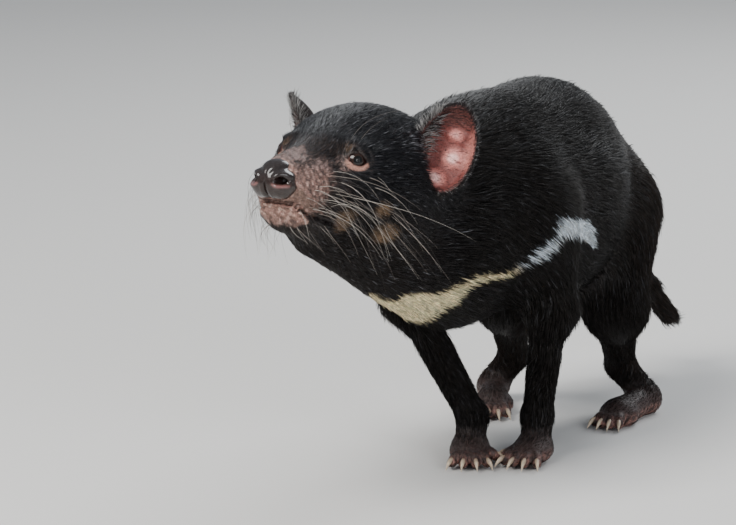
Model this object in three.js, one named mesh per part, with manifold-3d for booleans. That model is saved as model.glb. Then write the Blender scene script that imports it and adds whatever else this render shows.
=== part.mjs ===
// A Tasmanian devil, life size, standing on four feet with its head raised and turned to its right.
// Millimetres, +Z up. The animal faces -Y, its left side is +X, and its soles rest at z = 0.
import * as THREE from "three";
import { mergeVertices } from "three/addons/utils/BufferGeometryUtils.js";
import Module from "manifold-3d";

const wasm = await Module();
wasm.setup();

// Driving dimensions of the animal, in millimetres and degrees
const HIP_TO_SHOULDER = 185;
const HIP_Y = 92; // the hips' place behind the origin, before the part is centred
const BEND = THREE.MathUtils.degToRad(16); // how far the spine turns to the right from hips to shoulders
const BACK_HEIGHT = 274;
const BELLY_HEIGHT = 99;
const TRUNK_HALF_WIDTH = 70;
const HEAD_AT = { s: 1.63, height: 240 }; // the middle of the head, at eye level between the ears
const HEAD_YAW = THREE.MathUtils.degToRad(15.5);
const HEAD_PITCH = THREE.MathUtils.degToRad(12);
const HEAD_ROLL = THREE.MathUtils.degToRad(0);
const EYE_RADIUS = 8.2;
const FISSURE = { width: 15.5, height: 9.5 }; // the opening between the lids
const GAZE = { out: 0.76, ahead: 0.62, up: 0.12 }; // the direction that an eye looks in, on the head's axes
const EYE_BULGE = 1.2; // how far the eyeball stands out of the face
const LID = 1.5; // how thick the lids are
const EAR = { width: 42, height: 64, depth: 12, wall: 3.2 };
// Where each ear's middle is on the head, and how it is turned out, leans out and leans back
const EAR_LEFT = { left: 61.5, back: -4, up: 15.5, turn: 0.5, out: 0.27, lean: 0.17 };
const EAR_RIGHT = { left: -68.5, back: 5.8, up: 11.5, turn: -0.95, out: -0.26, lean: -0.35 };
const TOES = {
  fore: { angles: [-0.5, -0.18, 0.14, 0.46], start: 13, length: 14, claw: 11, ahead: 0 },
  hind: { angles: [-0.42, -0.14, 0.14, 0.42], start: 13, length: 11, claw: 9, ahead: 14 },
};
const THUMB = { angle: -1.25, start: 10, length: 10, claw: 8, ahead: 0 };
const WRIST_HEIGHT = 25; // where a paw's node meets its leg's
const SEAM = 0.3; // the gap between two solids that touch

const v3 = (x, y, z) => new THREE.Vector3(x, y, z);
const UP = v3(0, 0, 1);
const WORLD = new THREE.Matrix4();

// The spine is an arc in plan, straight at the hips and turning right towards the head. s is 0 at the hips
// and 1 at the shoulders.
function spineTurn(s) {
  return BEND * Math.max(s, 0);
}

function onSpine(s, left, height) {
  const turn = spineTurn(s);
  const radius = HIP_TO_SHOULDER / BEND;
  const x = -radius * (1 - Math.cos(turn));
  const y = HIP_Y - radius * Math.sin(turn) - Math.min(s, 0) * HIP_TO_SHOULDER;
  return v3(x + left * Math.cos(turn), y - left * Math.sin(turn), height);
}

// Frames. A form's own axes are left, back and up, turned to face along the spine.
function turned(yaw, pitch = 0, roll = 0) {
  return new THREE.Matrix4().makeRotationFromEuler(new THREE.Euler(-pitch, roll, -yaw, "ZYX"));
}

function frameAt(origin, turn) {
  return new THREE.Matrix4().makeTranslation(origin.x, origin.y, origin.z).multiply(turn);
}

const headFrame = frameAt(onSpine(HEAD_AT.s, 0, HEAD_AT.height), turned(HEAD_YAW, HEAD_PITCH, HEAD_ROLL));
const inHead = (left, back, up) => v3(left, back, up).applyMatrix4(headFrame);

// Soft forms. Each is a signed distance in millimetres, negative inside, with the width over which it melts
// into the forms before it.
function ball(centre, radii, turn, melt) {
  const inverse = frameAt(centre, turn).invert().elements.slice();
  const [rx, ry, rz] = radii;
  const reach = Math.min(rx, ry, rz);
  const distance = (x, y, z) => {
    const e = inverse;
    const px = (e[0] * x + e[4] * y + e[8] * z + e[12]) / rx;
    const py = (e[1] * x + e[5] * y + e[9] * z + e[13]) / ry;
    const pz = (e[2] * x + e[6] * y + e[10] * z + e[14]) / rz;
    const k0 = Math.hypot(px, py, pz);
    const k1 = Math.hypot(px / rx, py / ry, pz / rz);
    return k1 < 1e-9 ? -reach : (k0 * (k0 - 1)) / k1;
  };
  return { distance, melt };
}

function bone(from, to, r0, r1, melt) {
  const axis = to.clone().sub(from);
  const length2 = axis.lengthSq();
  const distance = (x, y, z) => {
    const dx = x - from.x;
    const dy = y - from.y;
    const dz = z - from.z;
    const t = THREE.MathUtils.clamp((dx * axis.x + dy * axis.y + dz * axis.z) / length2, 0, 1);
    const gap = Math.hypot(dx - t * axis.x, dy - t * axis.y, dz - t * axis.z);
    return gap - (r0 + (r1 - r0) * t);
  };
  return { distance, melt };
}

// The smooth minimum of all the forms.
function blend(forms) {
  return (x, y, z) => {
    let d = forms[0].distance(x, y, z);
    for (let i = 1; i < forms.length; i++) {
      const b = forms[i].distance(x, y, z);
      const k = forms[i].melt;
      const h = Math.max(k - Math.abs(d - b), 0) / k;
      d = Math.min(d, b) - (h * h * k) / 4;
    }
    return d;
  };
}

// The trunk: pelvis, belly, chest and the arched back over them.
const bodyBall = (s, left, height, radii, melt) =>
  ball(onSpine(s, left, height), radii, turned(spineTurn(s)), melt);

const trunkMiddle = (BACK_HEIGHT + BELLY_HEIGHT) / 2;
const trunkHalf = (BACK_HEIGHT - BELLY_HEIGHT) / 2;

function trunkForms() {
  const w = TRUNK_HALF_WIDTH;
  return [
    bodyBall(0.47, 0, trunkMiddle, [w - 3, 99, trunkHalf], 30),
    bodyBall(0, 0, trunkMiddle - 28, [w - 12, 56, trunkHalf - 19], 34),
    bodyBall(0.7, 0, trunkMiddle + 24, [w - 22, 92, trunkHalf - 26], 24),
    bodyBall(0.98, 0, trunkMiddle + 2, [w - 6, 72, trunkHalf - 10], 40),
    bodyBall(1.08, 0, trunkMiddle + 26, [w - 18, 70, trunkHalf - 32], 26),
  ];
}

// The neck runs from the chest up into the back of the skull, with the loose skin of the throat below.
function neckForms() {
  return [
    bodyBall(1.34, 0, 199, [56, 64, 60], 30),
    bone(onSpine(1.24, 0, 157), inHead(0, -56, -48), 50, 25, 30),
  ];
}

// The head, in its own frame: nose ahead at -y, the eyes at z = 0.
const headBall = (left, back, up, radii, melt, tilt = 0) =>
  ball(inHead(left, back, up), radii, turned(HEAD_YAW, HEAD_PITCH + tilt, HEAD_ROLL), melt);

function headForms() {
  const forms = [
    headBall(0, -12, 3, [50, 54, 39], 26),
    headBall(0, -50, -2, [34, 38, 26], 18),
    headBall(0, -86, -20, [22, 36, 19], 16),
    bone(inHead(0, -48, 6), inHead(0, -112, -15), 14, 10, 14),
    bone(inHead(0, -26, -42), inHead(0, -92, -43), 27, 11.5, 16),
    headBall(0, -98, -45, [12.5, 12, 9], 8),
  ];
  for (const side of [1, -1]) {
    forms.push(headBall(35 * side, -14, -18, [25, 36, 33], 30));
    forms.push(headBall(33 * side, -48, -20, [14, 24, 17], 22));
    forms.push(headBall(9.5 * side, -100, -27.5, [12, 19, 11], 8));
    forms.push(headBall(12.5 * side, -79, -42.5, [12, 27, 10.5], 12));
    forms.push(headBall(27 * side, -57, 9, [10, 13, 5], 8));
    forms.push(headBall(47 * side, 23, 4, [13, 11, 23], 14));
  }
  return forms;
}

// Where the legs' joints are. Each foot stands at its own place on the floor.
const LEGS = {
  foreleg_left: {
    root: onSpine(0.95, 42, 187), elbow: onSpine(0.86, 49, 118), wrist: v3(17, -72, 32),
    foot: v3(18, -84, 0), yaw: 0.1, side: 1, fore: true,
  },
  foreleg_right: {
    root: onSpine(1.02, -43, 187), elbow: onSpine(1.0, -60, 118), wrist: v3(-29, -86, 32),
    foot: v3(-27, -98, 0), yaw: -0.3, side: -1, fore: true,
  },
  hindleg_left: {
    root: onSpine(0.04, 29, 157), elbow: onSpine(0.2, 44, 94), wrist: v3(37, 92, 38),
    foot: v3(51, 64, 0), yaw: 0.2, side: 1, fore: false,
  },
  hindleg_right: {
    root: onSpine(0.04, -29, 157), elbow: onSpine(0.2, -45, 94), wrist: v3(-52, 100, 38),
    foot: v3(-60, 70, 0), yaw: -0.3, side: -1, fore: false,
  },
};

// A point of a foot in its own frame, with its toes ahead at -y. A positive yaw turns them to the right.
const onFoot = ({ foot, yaw }, left, back, up) => v3(left, back, up).applyAxisAngle(UP, -yaw).add(foot);

function legForms(leg) {
  const { root, elbow, wrist } = leg;
  if (leg.fore) {
    return [
      bone(root, elbow, 36, 22, 22),
      bone(elbow, wrist, 18, 11, 16),
      bone(wrist, onFoot(leg, 0, 4, 14), 11, 12, 8),
      ball(onFoot(leg, 0, -4, 9), [16, 18, 10.5], turned(leg.yaw), 8),
    ];
  }
  return [
    bone(root, elbow, 41, 27, 24),
    bone(elbow, wrist, 22, 11, 18),
    bone(wrist, onFoot(leg, 0, 30, 12), 11, 12, 8),
    bone(onFoot(leg, 0, 30, 10.5), onFoot(leg, 0, -16, 9), 11.5, 12, 8),
    ball(onFoot(leg, 0, -16, 8), [16, 14, 9.5], turned(leg.yaw), 8),
  ];
}

// The tail is a thick cone that hangs behind the left thigh, with its tip swung a little to the left.
const tailCurve = new THREE.CatmullRomCurve3([
  v3(0, 128, 190), v3(0, 166, 164), v3(3, 200, 126), v3(13, 230, 84), v3(33, 252, 46),
]);
const tailPoint = (t) => tailCurve.getPoint(t);

function tailForms() {
  const forms = [];
  const pieces = 6;
  const radius = (t) => 25 - 17 * t ** 1.1;
  for (let i = 0; i < pieces; i++) {
    const [a, b] = [i / pieces, (i + 1) / pieces];
    forms.push(bone(tailPoint(a), tailPoint(b), radius(a), radius(b), i ? 6 : 30));
  }
  return forms;
}

const animal = blend([
  ...trunkForms(),
  ...neckForms(),
  ...headForms(),
  ...Object.values(LEGS).flatMap(legForms),
  ...tailForms(),
]);

// A grid cell's corners and edges. A corner's number holds its x, y and z as bits.
const CORNERS = [0, 1, 2, 3, 4, 5, 6, 7].map((c) => [c & 1, (c >> 1) & 1, c >> 2]);
const EDGES = [0, 1, 2].flatMap((axis) =>
  [0, 1, 2, 3, 4, 5, 6, 7].filter((c) => !(c & (1 << axis))).map((from) => ({ from, axis })),
);
const edgeOf = (from, axis) => EDGES.findIndex((e) => e.from === from && e.axis === axis);
const FACES = [0, 1, 2].flatMap((axis) =>
  [0, 1].map((side) => ({
    corners: [0, 1, 2, 3, 4, 5, 6, 7].filter((c) => ((c >> axis) & 1) === side),
    edges: EDGES.map((e, n) => ({ ...e, n }))
      .filter((e) => e.axis !== axis && ((e.from >> axis) & 1) === side),
  })),
);

// The edges that the surface crosses in a cell, grouped by sheet, so that two sheets never share a vertex.
function sheetsOf(v) {
  const group = EDGES.map((e, n) => n);
  const find = (n) => (group[n] === n ? n : find(group[n]));
  const crossed = (e) => v[e.from] < 0 !== v[e.from | (1 << e.axis)] < 0;
  for (const face of FACES) {
    const cut = face.edges.filter(crossed);
    if (cut.length === 2) group[find(cut[0].n)] = find(cut[1].n);
    if (cut.length !== 4) continue;
    for (const corner of face.corners.filter((c) => v[c] < 0)) {
      const [a, b] = cut.filter((e) => e.from === corner || (e.from | (1 << e.axis)) === corner);
      group[find(a.n)] = find(b.n);
    }
  }
  const sheets = new Map();
  EDGES.forEach((e, n) => {
    if (crossed(e)) sheets.set(find(n), [...(sheets.get(find(n)) ?? []), n]);
  });
  return [...sheets.values()];
}

// A closed surface round the space where a field is negative, on a grid of the frame's own axes. Each cell
// that the surface crosses holds one vertex, which then slides onto the surface.
function ticks(low, high, stepLow, stepHigh = stepLow) {
  const count = Math.max(3, Math.round((2 * (high - low)) / (stepLow + stepHigh)));
  const grow = (stepHigh - stepLow) / (stepHigh + stepLow);
  return Array.from({ length: count + 1 }, (_, i) => {
    const t = i / count;
    return low + (high - low) * (t * (1 - grow) + t * t * grow);
  });
}

function grow(field, frame, xs, ys, zs) {
  const local = (x, y, z) => {
    const p = v3(x, y, z).applyMatrix4(frame);
    return field(p.x, p.y, p.z);
  };
  const [nx, ny, nz] = [xs.length, ys.length, zs.length];
  const at = (i, j, k) => (k * ny + j) * nx + i;
  const values = new Float64Array(nx * ny * nz);
  for (let k = 0; k < nz; k++)
    for (let j = 0; j < ny; j++)
      for (let i = 0; i < nx; i++) {
        const edge = !i || !j || !k || i === nx - 1 || j === ny - 1 || k === nz - 1;
        values[at(i, j, k)] = edge ? 1 : local(xs[i], ys[j], zs[k]) || 1e-6;
      }
  const slide = (p, size) => {
    for (let n = 0; n < 4; n++) {
      const d = local(p[0], p[1], p[2]);
      const h = 0.2;
      const g = [
        (local(p[0] + h, p[1], p[2]) - local(p[0] - h, p[1], p[2])) / (2 * h),
        (local(p[0], p[1] + h, p[2]) - local(p[0], p[1] - h, p[2])) / (2 * h),
        (local(p[0], p[1], p[2] + h) - local(p[0], p[1], p[2] - h)) / (2 * h),
      ];
      const g2 = Math.max(g[0] * g[0] + g[1] * g[1] + g[2] * g[2], 0.05);
      const step = THREE.MathUtils.clamp(d, -size / 4, size / 4) / g2;
      for (let a = 0; a < 3; a++) p[a] -= step * g[a];
    }
    return p;
  };
  const vertexOf = new Int32Array(nx * ny * nz * 12).fill(-1);
  const positions = [];
  for (let k = 0; k < nz - 1; k++)
    for (let j = 0; j < ny - 1; j++)
      for (let i = 0; i < nx - 1; i++) {
        const v = CORNERS.map(([a, b, c]) => values[at(i + a, j + b, k + c)]);
        const inside = v.filter((d) => d < 0).length;
        if (!inside || inside === 8) continue;
        const rim = !i || !j || !k || i === nx - 2 || j === ny - 2 || k === nz - 2;
        for (const sheet of sheetsOf(v)) {
          const sum = [0, 0, 0];
          for (const e of sheet) {
            const { from, axis } = EDGES[e];
            const t = v[from] / (v[from] - v[from | (1 << axis)]);
            CORNERS[from].forEach((q, n) => (sum[n] += q + (n === axis ? t : 0)));
            vertexOf[at(i, j, k) * 12 + e] = positions.length / 3;
          }
          const [fx, fy, fz] = sum.map((q) => q / sheet.length);
          const point = [
            xs[i] + fx * (xs[i + 1] - xs[i]),
            ys[j] + fy * (ys[j + 1] - ys[j]),
            zs[k] + fz * (zs[k + 1] - zs[k]),
          ];
          positions.push(...(rim ? point : slide(point, xs[i + 1] - xs[i])));
        }
      }
  const index = [];
  const quad = (a, b, c, d, flip) => {
    const q = flip ? [a, d, c, b] : [a, b, c, d];
    const span = (m, n) =>
      Math.hypot(...[0, 1, 2].map((e) => positions[3 * q[m] + e] - positions[3 * q[n] + e]));
    if (span(0, 2) < span(1, 3)) index.push(q[0], q[1], q[2], q[0], q[2], q[3]);
    else index.push(q[1], q[2], q[3], q[1], q[3], q[0]);
  };
  // The four cells round a grid edge, in turn, each with the edge's own place in it.
  const around = [[1, 1], [0, 1], [0, 0], [1, 0]];
  for (let k = 0; k < nz - 1; k++)
    for (let j = 0; j < ny - 1; j++)
      for (let i = 0; i < nx - 1; i++)
        for (let axis = 0; axis < 3; axis++) {
          const next = [i + (axis === 0), j + (axis === 1), k + (axis === 2)];
          const here = values[at(i, j, k)] < 0;
          if (here === values[at(...next)] < 0) continue;
          const [b, c] = [(axis + 1) % 3, (axis + 2) % 3];
          const ring = around.map(([down, back]) => {
            const cell = [i, j, k];
            cell[b] -= down;
            cell[c] -= back;
            return vertexOf[at(...cell) * 12 + edgeOf((down << b) | (back << c), axis)];
          });
          quad(...ring, !here);
        }
  return solidOf(positions, index, frame);
}

// A manifold solid from a list of coordinates and triangles.
function solidOf(positions, index, frame = new THREE.Matrix4()) {
  const points = new THREE.Float32BufferAttribute(positions, 3).applyMatrix4(frame);
  return new wasm.Manifold(
    new wasm.Mesh({ numProp: 3, vertProperties: points.array, triVerts: new Uint32Array(index) }),
  );
}

function solidFrom(geometry) {
  const bare = geometry.clone();
  bare.deleteAttribute("normal");
  bare.deleteAttribute("uv");
  const merged = mergeVertices(bare, 1e-4);
  return solidOf(merged.attributes.position.array, merged.index.array);
}

// The same solid with its surface moved out by a gap, for cutting its neighbours.
function swell(solid, gap = SEAM) {
  const { vertProperties, triVerts } = solid.getMesh();
  const geometry = new THREE.BufferGeometry();
  geometry.setAttribute("position", new THREE.BufferAttribute(new Float32Array(vertProperties), 3));
  geometry.setIndex(new THREE.BufferAttribute(new Uint32Array(triVerts), 1));
  geometry.computeVertexNormals();
  const normals = geometry.attributes.normal.array;
  return solidOf(vertProperties.map((p, i) => p + gap * normals[i]), triVerts);
}

const largest = (solid) => solid.decompose().reduce((a, b) => (b.volume() > a.volume() ? b : a));

// A box that fills the side of a plane that its normal points to.
const FAR = 1200;
function sideOf(point, normal, gap = 0) {
  const turn = new THREE.Quaternion().setFromUnitVectors(UP, normal.clone().normalize());
  const centre = point.clone().addScaledVector(normal.clone().normalize(), gap + FAR / 2);
  const geometry = new THREE.BoxGeometry(FAR, FAR, FAR).applyQuaternion(turn);
  geometry.translate(centre.x, centre.y, centre.z);
  return solidFrom(geometry);
}

// A tapered tube with closed ends along a list of centres. The radii are half widths across and up.
function taper(centres, radii, sides, flatten = 1) {
  const positions = [];
  const index = [];
  const last = centres.length - 1;
  centres.forEach((centre, i) => {
    const ahead = centres[Math.min(i + 1, last)].clone().sub(centres[Math.max(i - 1, 0)]).normalize();
    const across = v3(0, 0, 1).cross(ahead).normalize();
    const upward = ahead.clone().cross(across);
    for (let n = 0; n < sides; n++) {
      const angle = (2 * Math.PI * n) / sides;
      const p = centre.clone();
      p.addScaledVector(across, radii[i] * Math.cos(angle));
      p.addScaledVector(upward, radii[i] * flatten * Math.sin(angle));
      positions.push(p.x, p.y, p.z);
    }
  });
  for (let i = 0; i < last; i++)
    for (let n = 0; n < sides; n++) {
      const [a, b] = [i * sides + n, i * sides + ((n + 1) % sides)];
      index.push(a, b, b + sides, a, b + sides, a + sides);
    }
  for (let n = 1; n < sides - 1; n++) {
    index.push(0, n + 1, n);
    index.push(last * sides, last * sides + n, last * sides + n + 1);
  }
  return solidOf(positions, index);
}

// The neck's two cuts are planes across the spine.
const neckTurn = spineTurn(1.2);
const neckFront = { point: inHead(0, 38, 0), normal: inHead(0, -1, -0.35).sub(inHead(0, 0, 0)) };
const neckBack = {
  point: onSpine(1.22, 0, 190),
  normal: v3(-Math.sin(neckTurn), -Math.cos(neckTurn), 0.25),
};
const ahead = (cut) => sideOf(cut.point, cut.normal, SEAM / 2);
const behind = (cut) => sideOf(cut.point, cut.normal.clone().negate(), SEAM / 2);

const above = (z) => sideOf(v3(0, 0, z), UP);
const below = (z) => sideOf(v3(0, 0, z), UP.clone().negate());

// A leg is the part of the animal inside a sleeve that ends in the shoulder or the thigh.
function sleeve(leg) {
  const { root, elbow, wrist, foot } = leg;
  const [top, middle] = leg.fore ? [42, 38] : [54, 42];
  const outside = root.clone().add(v3(24 * leg.side, 0, 0));
  const zone = blend([
    bone(outside, elbow, top, middle, 10),
    bone(elbow, wrist, middle, 34, 10),
    bone(wrist, foot, 34, 46, 10),
  ]);
  const box = new THREE.Box3().setFromPoints([outside, elbow, wrist, foot]).expandByScalar(64);
  return grow(
    zone, WORLD,
    ticks(box.min.x, box.max.x, 21), ticks(box.min.y, box.max.y, 21), ticks(box.min.z, box.max.z, 21),
  );
}

const sleeves = Object.fromEntries(Object.entries(LEGS).map(([name, leg]) => [name, sleeve(leg)]));

// The tail is the part inside a sleeve of its own, which ends in the rump.
const tailZone = blend([0.15, 0.4, 0.7].map((t, i) =>
  bone(tailPoint(t), tailPoint([0.4, 0.7, 1][i]), 33 - 7 * i, 26 - 6 * i, 8)));
const tailSleeve = grow(tailZone, WORLD, ticks(-60, 80, 16), ticks(100, 300, 16), ticks(-10, 240, 16));

function growBox(low, high, step) {
  const [xs, ys, zs] = ["x", "y", "z"].map((axis) => ticks(low[axis], high[axis], step));
  return grow(animal, WORLD, xs, ys, zs);
}

const solids = {};
const tone = {};
function keep(name, solid, colour, roughness = 0.8) {
  solids[name] = largest(solid);
  tone[name] = { colour, roughness };
}

const COAT = "#1b1715";
const SKIN = "#7a5a50";
const PINK = "#b5736a";

// The torso
let torso = growBox(v3(-130, -190, 40), v3(130, 230, 325), 20).intersect(behind(neckBack));
for (const cutter of [...Object.values(sleeves), tailSleeve]) torso = torso.subtract(swell(cutter));
keep("torso", torso, COAT);

// The neck
const neck = growBox(v3(-150, -300, 80), v3(90, -60, 324), 14);
keep("neck", neck.intersect(ahead(neckBack)).intersect(behind(neckFront)), COAT);

// The tail
keep("tail", growBox(v3(-60, 100, 4), v3(90, 310, 240), 10).intersect(tailSleeve), COAT);

// The plane half way between a left leg and the right one beside it.
function midway(left, right) {
  const low = left.foot.clone().add(right.foot).divideScalar(2);
  const high = left.root.clone().add(right.root).divideScalar(2);
  return { point: low, normal: high.clone().sub(low).cross(v3(0, 1, 0)).normalize() };
}
const betweenFore = midway(LEGS.foreleg_left, LEGS.foreleg_right);
const betweenHind = midway(LEGS.hindleg_left, LEGS.hindleg_right);

// The side of that plane that a leg stands on.
function ownSide(leg) {
  const { point, normal } = leg.fore ? betweenFore : betweenHind;
  return sideOf(point, normal.clone().multiplyScalar(-leg.side), SEAM / 2);
}

// Legs
for (const [name, leg] of Object.entries(LEGS)) {
  const box = new THREE.Box3().setFromPoints([leg.root, leg.elbow, leg.wrist, leg.foot]).expandByScalar(66);
  const limb = growBox(box.min.setZ(4), box.max, 14).intersect(sleeves[name]).subtract(swell(tailSleeve));
  keep(name, limb.intersect(behind(neckBack)).intersect(ownSide(leg)).intersect(above(WRIST_HEIGHT)), COAT);
}

// Paws. The palm or sole is part of the animal's own surface; toes and claws are joined to it.
function toe(leg, angle, { start, length, claw, ahead }) {
  const at = (along, up) => onFoot(leg, Math.sin(angle) * along, -Math.cos(angle) * along - ahead, up);
  const end = start + length;
  const knuckles = [at(start - 8, 9), at(start, 10.5), at(end - 5, 9), at(end + 2, 5.5)];
  const digit = taper(knuckles, [4, 5.2, 5, 3], 6);
  const nail = taper([at(end - 3, 6), at(end + claw / 2, 5.6), at(end + claw, 1.8)], [2.1, 1.7, 0.4], 5);
  return digit.add(nail);
}

for (const [name, leg] of Object.entries(LEGS)) {
  const low = onFoot(leg, 0, 0, 0).subScalar(66).setZ(-8);
  const high = onFoot(leg, 0, 0, 0).addScalar(66).setZ(WRIST_HEIGHT + 9);
  const frontOrBack = sideOf(v3(0, 0, 0), v3(0, leg.fore ? -1 : 1, 0), 10);
  const toes = leg.fore ? TOES.fore : TOES.hind;
  let paw = largest(growBox(low, high, 8.5).intersect(ownSide(leg)).intersect(frontOrBack));
  for (const angle of toes.angles) paw = paw.add(toe(leg, angle, toes));
  if (leg.fore) paw = paw.add(toe(leg, THUMB.angle * leg.side, THUMB));
  paw = paw.intersect(below(WRIST_HEIGHT - SEAM)).intersect(above(0));
  keep(name.replace("foreleg", "forepaw").replace("hindleg", "hindfoot"), paw, SKIN);
}

// The skull and face, before the openings are cut
const headGrid = [ticks(-76, 76, 7.8), ticks(-136, 68, 6.6, 10), ticks(-104, 60, 7.8)];
let rawHead = grow(animal, headFrame, ...headGrid);

// An ear's own frame, and the hollow that each ear opens over in the side of the head
function earFrame(ear) {
  const lean = new THREE.Matrix4().makeRotationZ(ear.turn);
  lean.multiply(new THREE.Matrix4().makeRotationY(ear.out));
  lean.multiply(new THREE.Matrix4().makeRotationX(-ear.lean));
  return headFrame.clone().multiply(frameAt(v3(ear.left, ear.back, ear.up), lean));
}

for (const ear of [EAR_LEFT, EAR_RIGHT]) {
  const bowl = new THREE.SphereGeometry(1, 14, 9);
  bowl.scale(EAR.width / 2 - 1, EAR.depth + 1, EAR.height / 2 - 3).applyMatrix4(earFrame(ear));
  rawHead = rawHead.subtract(solidFrom(bowl));
}
let head = rawHead.intersect(ahead(neckFront));

// The nose pad, with two comma shaped nostrils and a groove down the middle
const noseField = blend([
  headBall(0, -121, -20, [13.5, 11, 12], 4),
  headBall(7.5, -119, -24, [8, 10, 9], 5),
  headBall(-7.5, -119, -24, [8, 10, 9], 5),
]);
const noseGrid = [ticks(-20, 20, 4.2), ticks(-139, -103, 4.2), ticks(-40, -2, 4.2)];
let nose = grow(noseField, headFrame, ...noseGrid);
head = head.subtract(swell(nose));
function pit(left, back, up, radii, yaw) {
  const geometry = new THREE.SphereGeometry(1, 9, 6).scale(...radii);
  geometry.applyMatrix4(frameAt(inHead(left, back, up), turned(HEAD_YAW + yaw, HEAD_PITCH, HEAD_ROLL)));
  return solidFrom(geometry);
}
for (const side of [1, -1]) {
  nose = nose.subtract(pit(7 * side, -130, -20, [2.9, 6, 2.6], -0.5 * side));
  nose = nose.subtract(pit(12 * side, -124, -22.5, [1.3, 6, 1.4], -0.7 * side));
}
nose = nose.subtract(pit(0, -134, -22, [0.8, 3.2, 9], 0));
keep("nose", nose, "#3a2a2a", 0.3);

// The lower jaw is cut off along the line of the mouth, which runs back and down to the corner of the lips.
const lips = [[-150, -37], [-113, -38], [-104, -41], [-96, -43], [-80, -46], [-67, -48]];
const jawOutline = [[-150, -120], [-64, -120], ...lips.toReversed()];
const jawShape = new THREE.Shape(jawOutline.map(([back, up]) => new THREE.Vector2(back, up)));
const jawBlock = new THREE.ExtrudeGeometry(jawShape, { depth: 140, bevelEnabled: false });
jawBlock.applyMatrix4(new THREE.Matrix4().makeBasis(v3(0, 1, 0), v3(0, 0, 1), v3(1, 0, 0)));
jawBlock.translate(-70, 0, 0).applyMatrix4(headFrame);
const jawCutter = solidFrom(jawBlock);
keep("lower_jaw", head.intersect(jawCutter), "#2b2120");
head = head.subtract(swell(jawCutter, 0.4));

// Eyes sit under the brow, looking out and ahead, between an upper and a lower lid.
function surfacePoint(from, direction) {
  let near = 0;
  let far = 80;
  for (let n = 0; n < 30; n++) {
    const middle = (near + far) / 2;
    const p = from.clone().addScaledVector(direction, middle);
    if (animal(p.x, p.y, p.z) < 0) near = middle;
    else far = middle;
  }
  return from.clone().addScaledVector(direction, near);
}

function round(radius, centre) {
  return solidFrom(new THREE.SphereGeometry(radius, 16, 10).translate(centre.x, centre.y, centre.z));
}

for (const side of [1, -1]) {
  const gaze = inHead(GAZE.out * side, -GAZE.ahead, GAZE.up).sub(inHead(0, 0, 0)).normalize();
  const skin = surfacePoint(inHead(8 * side, -50, -4.5), gaze);
  const centre = skin.clone().addScaledVector(gaze, EYE_BULGE - EYE_RADIUS);
  const across = inHead(0, 0, 1).sub(inHead(0, 0, 0)).cross(gaze).normalize();
  const upward = gaze.clone().cross(across);
  const almond = new THREE.Shape();
  almond.moveTo(-FISSURE.width / 2, -0.6 * side);
  almond.quadraticCurveTo(0, FISSURE.height, FISSURE.width / 2, 0.6 * side);
  almond.quadraticCurveTo(0, -FISSURE.height, -FISSURE.width / 2, -0.6 * side);
  const slot = new THREE.ExtrudeGeometry(almond, { depth: 24, curveSegments: 6, bevelEnabled: false });
  const eyeFrame = new THREE.Matrix4().makeBasis(across, upward, gaze).setPosition(centre);
  head = head.add(round(EYE_RADIUS + LID, centre));
  head = head.subtract(round(EYE_RADIUS + SEAM, centre)).subtract(solidFrom(slot.applyMatrix4(eyeFrame)));
  keep(side > 0 ? "eye_left" : "eye_right", round(EYE_RADIUS, centre), "#1a0f0a", 0.08);
}
keep("head", head, COAT);

// Ears are thin cups that face ahead and outward, and lean out and back. The animal's left ear is turned
// further ahead than its right one.
function earCup() {
  const [rings, steps] = [5, 20];
  const positions = [];
  const index = [];
  const at = (spread, angle, back) => {
    const rise = Math.sin(angle) * spread;
    const narrow = rise > 0 ? 1 - 0.16 * rise : 1 + 0.04 * Math.abs(rise);
    const half = (EAR.width / 2) * spread * narrow;
    positions.push(half * Math.cos(angle), back, (EAR.height / 2) * rise);
  };
  const front = (spread) => EAR.depth * (1 - spread ** 2.4);
  for (const side of [0, 1]) {
    at(0, 0, front(0) + side * EAR.wall);
    for (let r = 1; r <= rings; r++)
      for (let n = 0; n < steps; n++) {
        const spread = (r / rings) ** 0.8;
        const flare = 1 + side * 0.05 * spread;
        at(spread * flare, (2 * Math.PI * n) / steps, front(spread) + side * (EAR.wall - 0.6 * spread));
      }
  }
  const sheet = 1 + rings * steps;
  for (const side of [0, 1]) {
    const tri = (a, b, c) => index.push(...(side ? [a, c, b] : [a, b, c]).map((q) => q + side * sheet));
    for (let n = 0; n < steps; n++) {
      const m = (n + 1) % steps;
      tri(0, 1 + n, 1 + m);
      for (let r = 0; r < rings - 1; r++) {
        const [a, b] = [1 + r * steps + n, 1 + r * steps + m];
        tri(a, a + steps, b + steps);
        tri(a, b + steps, b);
      }
    }
  }
  for (let n = 0; n < steps; n++) {
    const [a, b] = [sheet - steps + n, sheet - steps + ((n + 1) % steps)];
    index.push(a, a + sheet, b + sheet, a, b + sheet, b);
  }
  return { positions, index };
}

const cup = earCup();
for (const [name, ear] of Object.entries({ ear_left: EAR_LEFT, ear_right: EAR_RIGHT })) {
  const solid = solidOf(cup.positions, cup.index, earFrame(ear));
  keep(name, solid.subtract(swell(rawHead)), PINK);
}

// The part: each solid is one named mesh, and the origin is on the floor under the middle of the whole.
const part = new THREE.Group();
for (const [name, solid] of Object.entries(solids)) {
  const { vertProperties, triVerts } = solid.getMesh();
  const geometry = new THREE.BufferGeometry();
  geometry.setAttribute("position", new THREE.BufferAttribute(new Float32Array(vertProperties), 3));
  geometry.setIndex(new THREE.BufferAttribute(new Uint32Array(triVerts), 1));
  geometry.computeVertexNormals();
  const { colour, roughness } = tone[name];
  const material = new THREE.MeshStandardMaterial({ color: colour, roughness, metalness: 0 });
  const mesh = new THREE.Mesh(geometry, material);
  mesh.name = name;
  part.add(mesh);
}
const middle = new THREE.Box3().setFromObject(part).getCenter(v3(0, 0, 0));
for (const mesh of part.children) mesh.geometry.translate(-middle.x, -middle.y, 0);

export default part;
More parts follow.
